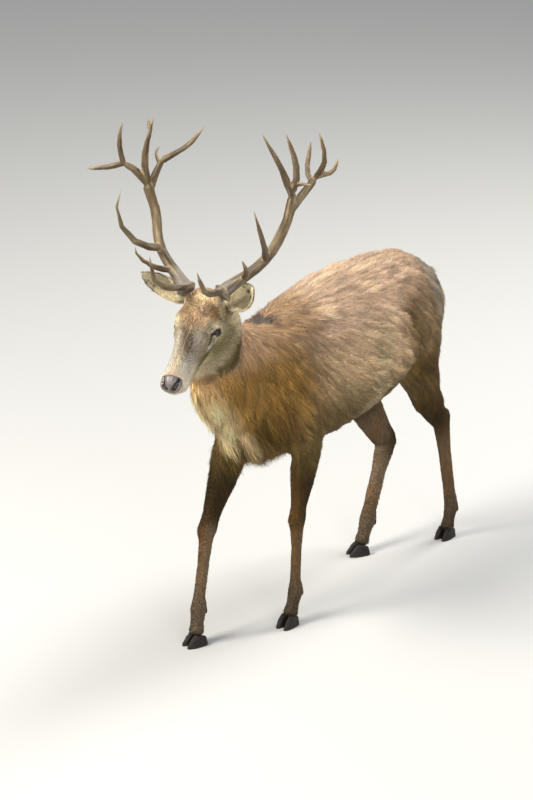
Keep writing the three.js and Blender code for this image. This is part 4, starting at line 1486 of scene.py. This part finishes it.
def add_eye(name, side):
    """An eyeball: a ball whose radius rises over the cornea, with a level oval pupil."""
    middle, out, front, up = eye_frame(side)
    polar = np.linspace(0, np.pi, 48)[:, None]
    turn = np.linspace(0, 2 * np.pi, 64, endpoint=False)[None]
    radius = EYE_RADIUS - 0.0004 + CORNEA * (1 - ramp(polar, 0.2, 0.75))
    x, y = np.sin(polar) * np.cos(turn), np.sin(polar) * np.sin(turn)
    way = (np.cos(polar) + 0 * turn)[..., None] * out + x[..., None] * front + y[..., None] * up
    mesh = surface_mesh("eyeball_" + name, from_head(middle + radius[..., None] * way))
    away = in_head(places_of(mesh)) - middle
    x, y = (away @ front) / EYE_RADIUS, (away @ up) / EYE_RADIUS
    pupil = 1 - ramp(np.hypot(x / PUPIL[0], y / PUPIL[1]), 0.85, 1.1)
    ring = ramp(np.hypot(x, y), 0.5, 0.75)
    colour = lay(plain(IRIS, len(x)), ring, BARE_DARK)
    paint(mesh, lay(colour, pupil, (0.003, 0.003, 0.004)))
    add_piece(mesh, EYE_GLASS, ["eye_" + name])


def add_lids(name, side):
    """The lids' bare rim, a thin ring lying on the eyeball round the almond, and the lashes of the upper one.

    At angle u the ring's middle is at x = cos(u)^(2/p) and y = sin(u)^(2/q), in units of its reach.
    """
    middle, out, front, up = eye_frame(side)
    u = np.linspace(0, 2 * np.pi, 96, endpoint=False)

    def reach(turn, power, positive, negative):
        signed = np.sign(turn) * np.abs(turn) ** (2 / power)
        return signed * np.where(turn > 0, positive, negative) / EYE_RADIUS

    x = reach(np.cos(u), LID_WIDE_POWER, LID_FRONT, LID_REAR)
    y = reach(np.sin(u), LID_HIGH_POWER, LID_UP, LID_DOWN)
    depth = np.sqrt(np.maximum(1 - x**2 - y**2, 0.0))
    way = unit(depth[:, None] * out + x[:, None] * front + y[:, None] * up)
    path = middle + way * (EYE_RADIUS + 0.0009)
    along_it = unit(np.roll(path, -1, 0) - np.roll(path, 1, 0))
    across = np.cross(along_it, way)
    thick = (0.0016 + 0.0006 * (np.sin(u) > 0) * np.sin(u))[:, None, None]
    turn = np.linspace(0, 2 * np.pi, 10, endpoint=False)[None, :, None]
    rows = path[:, None] + thick * (np.cos(turn) * across[:, None] + np.sin(turn) * way[:, None])
    mesh = surface_mesh("lid_" + name, from_head(rows), closed_rows=True)
    paint(mesh, plain(BARE_DARK, len(mesh.vertices)))
    add_piece(mesh, LID_SKIN)

    share = random.random(LASHES)
    pick = (3 + share * 42).astype(int)  # along the upper lid
    roots, normals = path[pick], way[pick]
    lie = unit(0.9 * up + 0.25 * np.outer(share - 0.5, -front) - 0.1 * out)
    lie = unit(flattened(lie, normals))
    length = random.uniform(0.007, 0.012, LASHES)
    colour = plain(BARE_DARK, LASHES)
    lift = random.uniform(0.5, 1.0, LASHES)
    uv = np.stack([share, random.random(LASHES)], 1)
    width = np.full(LASHES, LASH_WIDTH)
    roots, normals, lie = from_head(roots), normals @ HEAD.T, lie @ HEAD.T
    add_piece(spikes("lashes_" + name, roots, normals, lie, length, width, lift, colour, uv), HAIR)


# The lower end, middle and upper end of the left nostril, in the head's frame.
NOSTRIL = ((0.013, -0.274, -0.011), (0.023, -0.262, 0.002), (0.034, -0.24, 0.016))


def add_nose():
    """The bare nose: the muzzle's end, sunk under the skin but for the pad, with nostrils opened in it."""
    form = Form(fused(["nose_pad"], NOSE_GRID))
    form.smooth(10)
    h = in_head(form.points)
    pad = pad_share(h)
    height = 0.0004 * pad - 0.0045 * (1 - pad)
    pit = np.zeros(len(h))
    inward = np.zeros((len(h), 3))
    for side in SIDES.values():
        low, middle, high = (on_side(place, side) for place in NOSTRIL)
        into = unit((-0.45 * side, 1, -0.35))
        flat = np.eye(3) - np.outer(into, into)
        opening = along(h @ flat, low @ flat, middle @ flat, 0.009)
        opening = np.maximum(opening, along(h @ flat, middle @ flat, high @ flat, 0.0066)) * (h[:, 1] < -0.22)
        pit = np.maximum(pit, opening)
        inward += opening[:, None] * into
        rim = low + (side * 0.012, 0.006, -0.007), middle + (side * 0.012, 0.008, -0.006)
        height += 0.0022 * along(h, *rim, 0.005)
    height -= 0.0015 * along(h, (0, -0.28, -0.044), (0, -0.28, -0.012), 0.003)
    form.swell(height)
    form.points = form.points + 0.009 * inward @ HEAD.T
    form.renew()
    form.smooth(2)
    # Grey above, partly painted sheen on the nose's upper face, and brown towards the lip.
    colour = plain(NOSE_GREY_AND_SHEEN, len(h))
    colour = lay(colour, 0.8 * (1 - ramp(h[:, 2], -0.036, -0.014)), NOSE_BROWN)
    colour = lay(colour, ramp(pit, 0.25, 0.6), (0.004, 0.003, 0.003))
    add_painted(form.mesh, "nose", colour, NOSE_SKIN, ["nose_pad"])


def add_hooves(limb):
    """The two claws and two dewclaws of a foot, smoothed, with growth rings and flat soles.

    The dewclaws are drawn in towards the fetlock, so that only their tips stand out of the hair.
    """
    claws = ["leg_" + limb + "_" + part for part in ("hoof_outer", "hoof_inner")]
    dewclaws = ["leg_" + limb + "_" + part for part in ("dewclaw_outer", "dewclaw_inner")]
    form = Form(fused(claws + dewclaws, HOOF_GRID))
    form.smooth(5)
    at = JOINTS[limb]
    for dewclaw in dewclaws:
        place = centre(dewclaw)
        inward = unit((at["fetlock"] - place) * (1, 1, 0))
        own = lengths(form.points - place) < 0.02
        form.points[own] = place + 0.012 * inward + (form.points[own] - place) * (0.8, 0.8, 0.9)
    ahead = unit(np.cross(at["out"], (0, 0, 1)))
    ahead = ahead if ahead[1] < 0 else -ahead
    down = form.points[:, 2] + 0.25 * (form.points - at["hoof"]) @ ahead
    ring = np.sin(down * 2 * np.pi / GROWTH_RING + 1.2 * np.sin(down * 90))
    wall = np.abs(form.normals[:, 2]) < 0.85
    form.swell(0.00012 * ring * wall)
    low = form.points[:, 2] < 0.0016
    form.points[low, 2] = 0.0
    form.points[:, 2] = np.maximum(form.points[:, 2], 0)
    form.renew()
    colour = plain(HORN_DARK, len(ring))
    colour = lay(colour, 0.2 * ramp(ring, 0, 1), HORN_PALE)
    colour = lay(colour, 0.5 * (1 - ramp(form.points[:, 2], 0.0, 0.008)), HORN_PALE)
    add_painted(form.mesh, "hooves_" + limb, colour, HORN, claws + dewclaws)


skin_form = add_skin()
add_coat(skin_form)
for side_name, side_sign in SIDES.items():
    add_ear(side_name, side_sign)
    add_antler(side_name, side_sign)
    add_eye(side_name, side_sign)
    add_lids(side_name, side_sign)
add_nose()
for limb_name in LIMBS:
    add_hooves(limb_name)
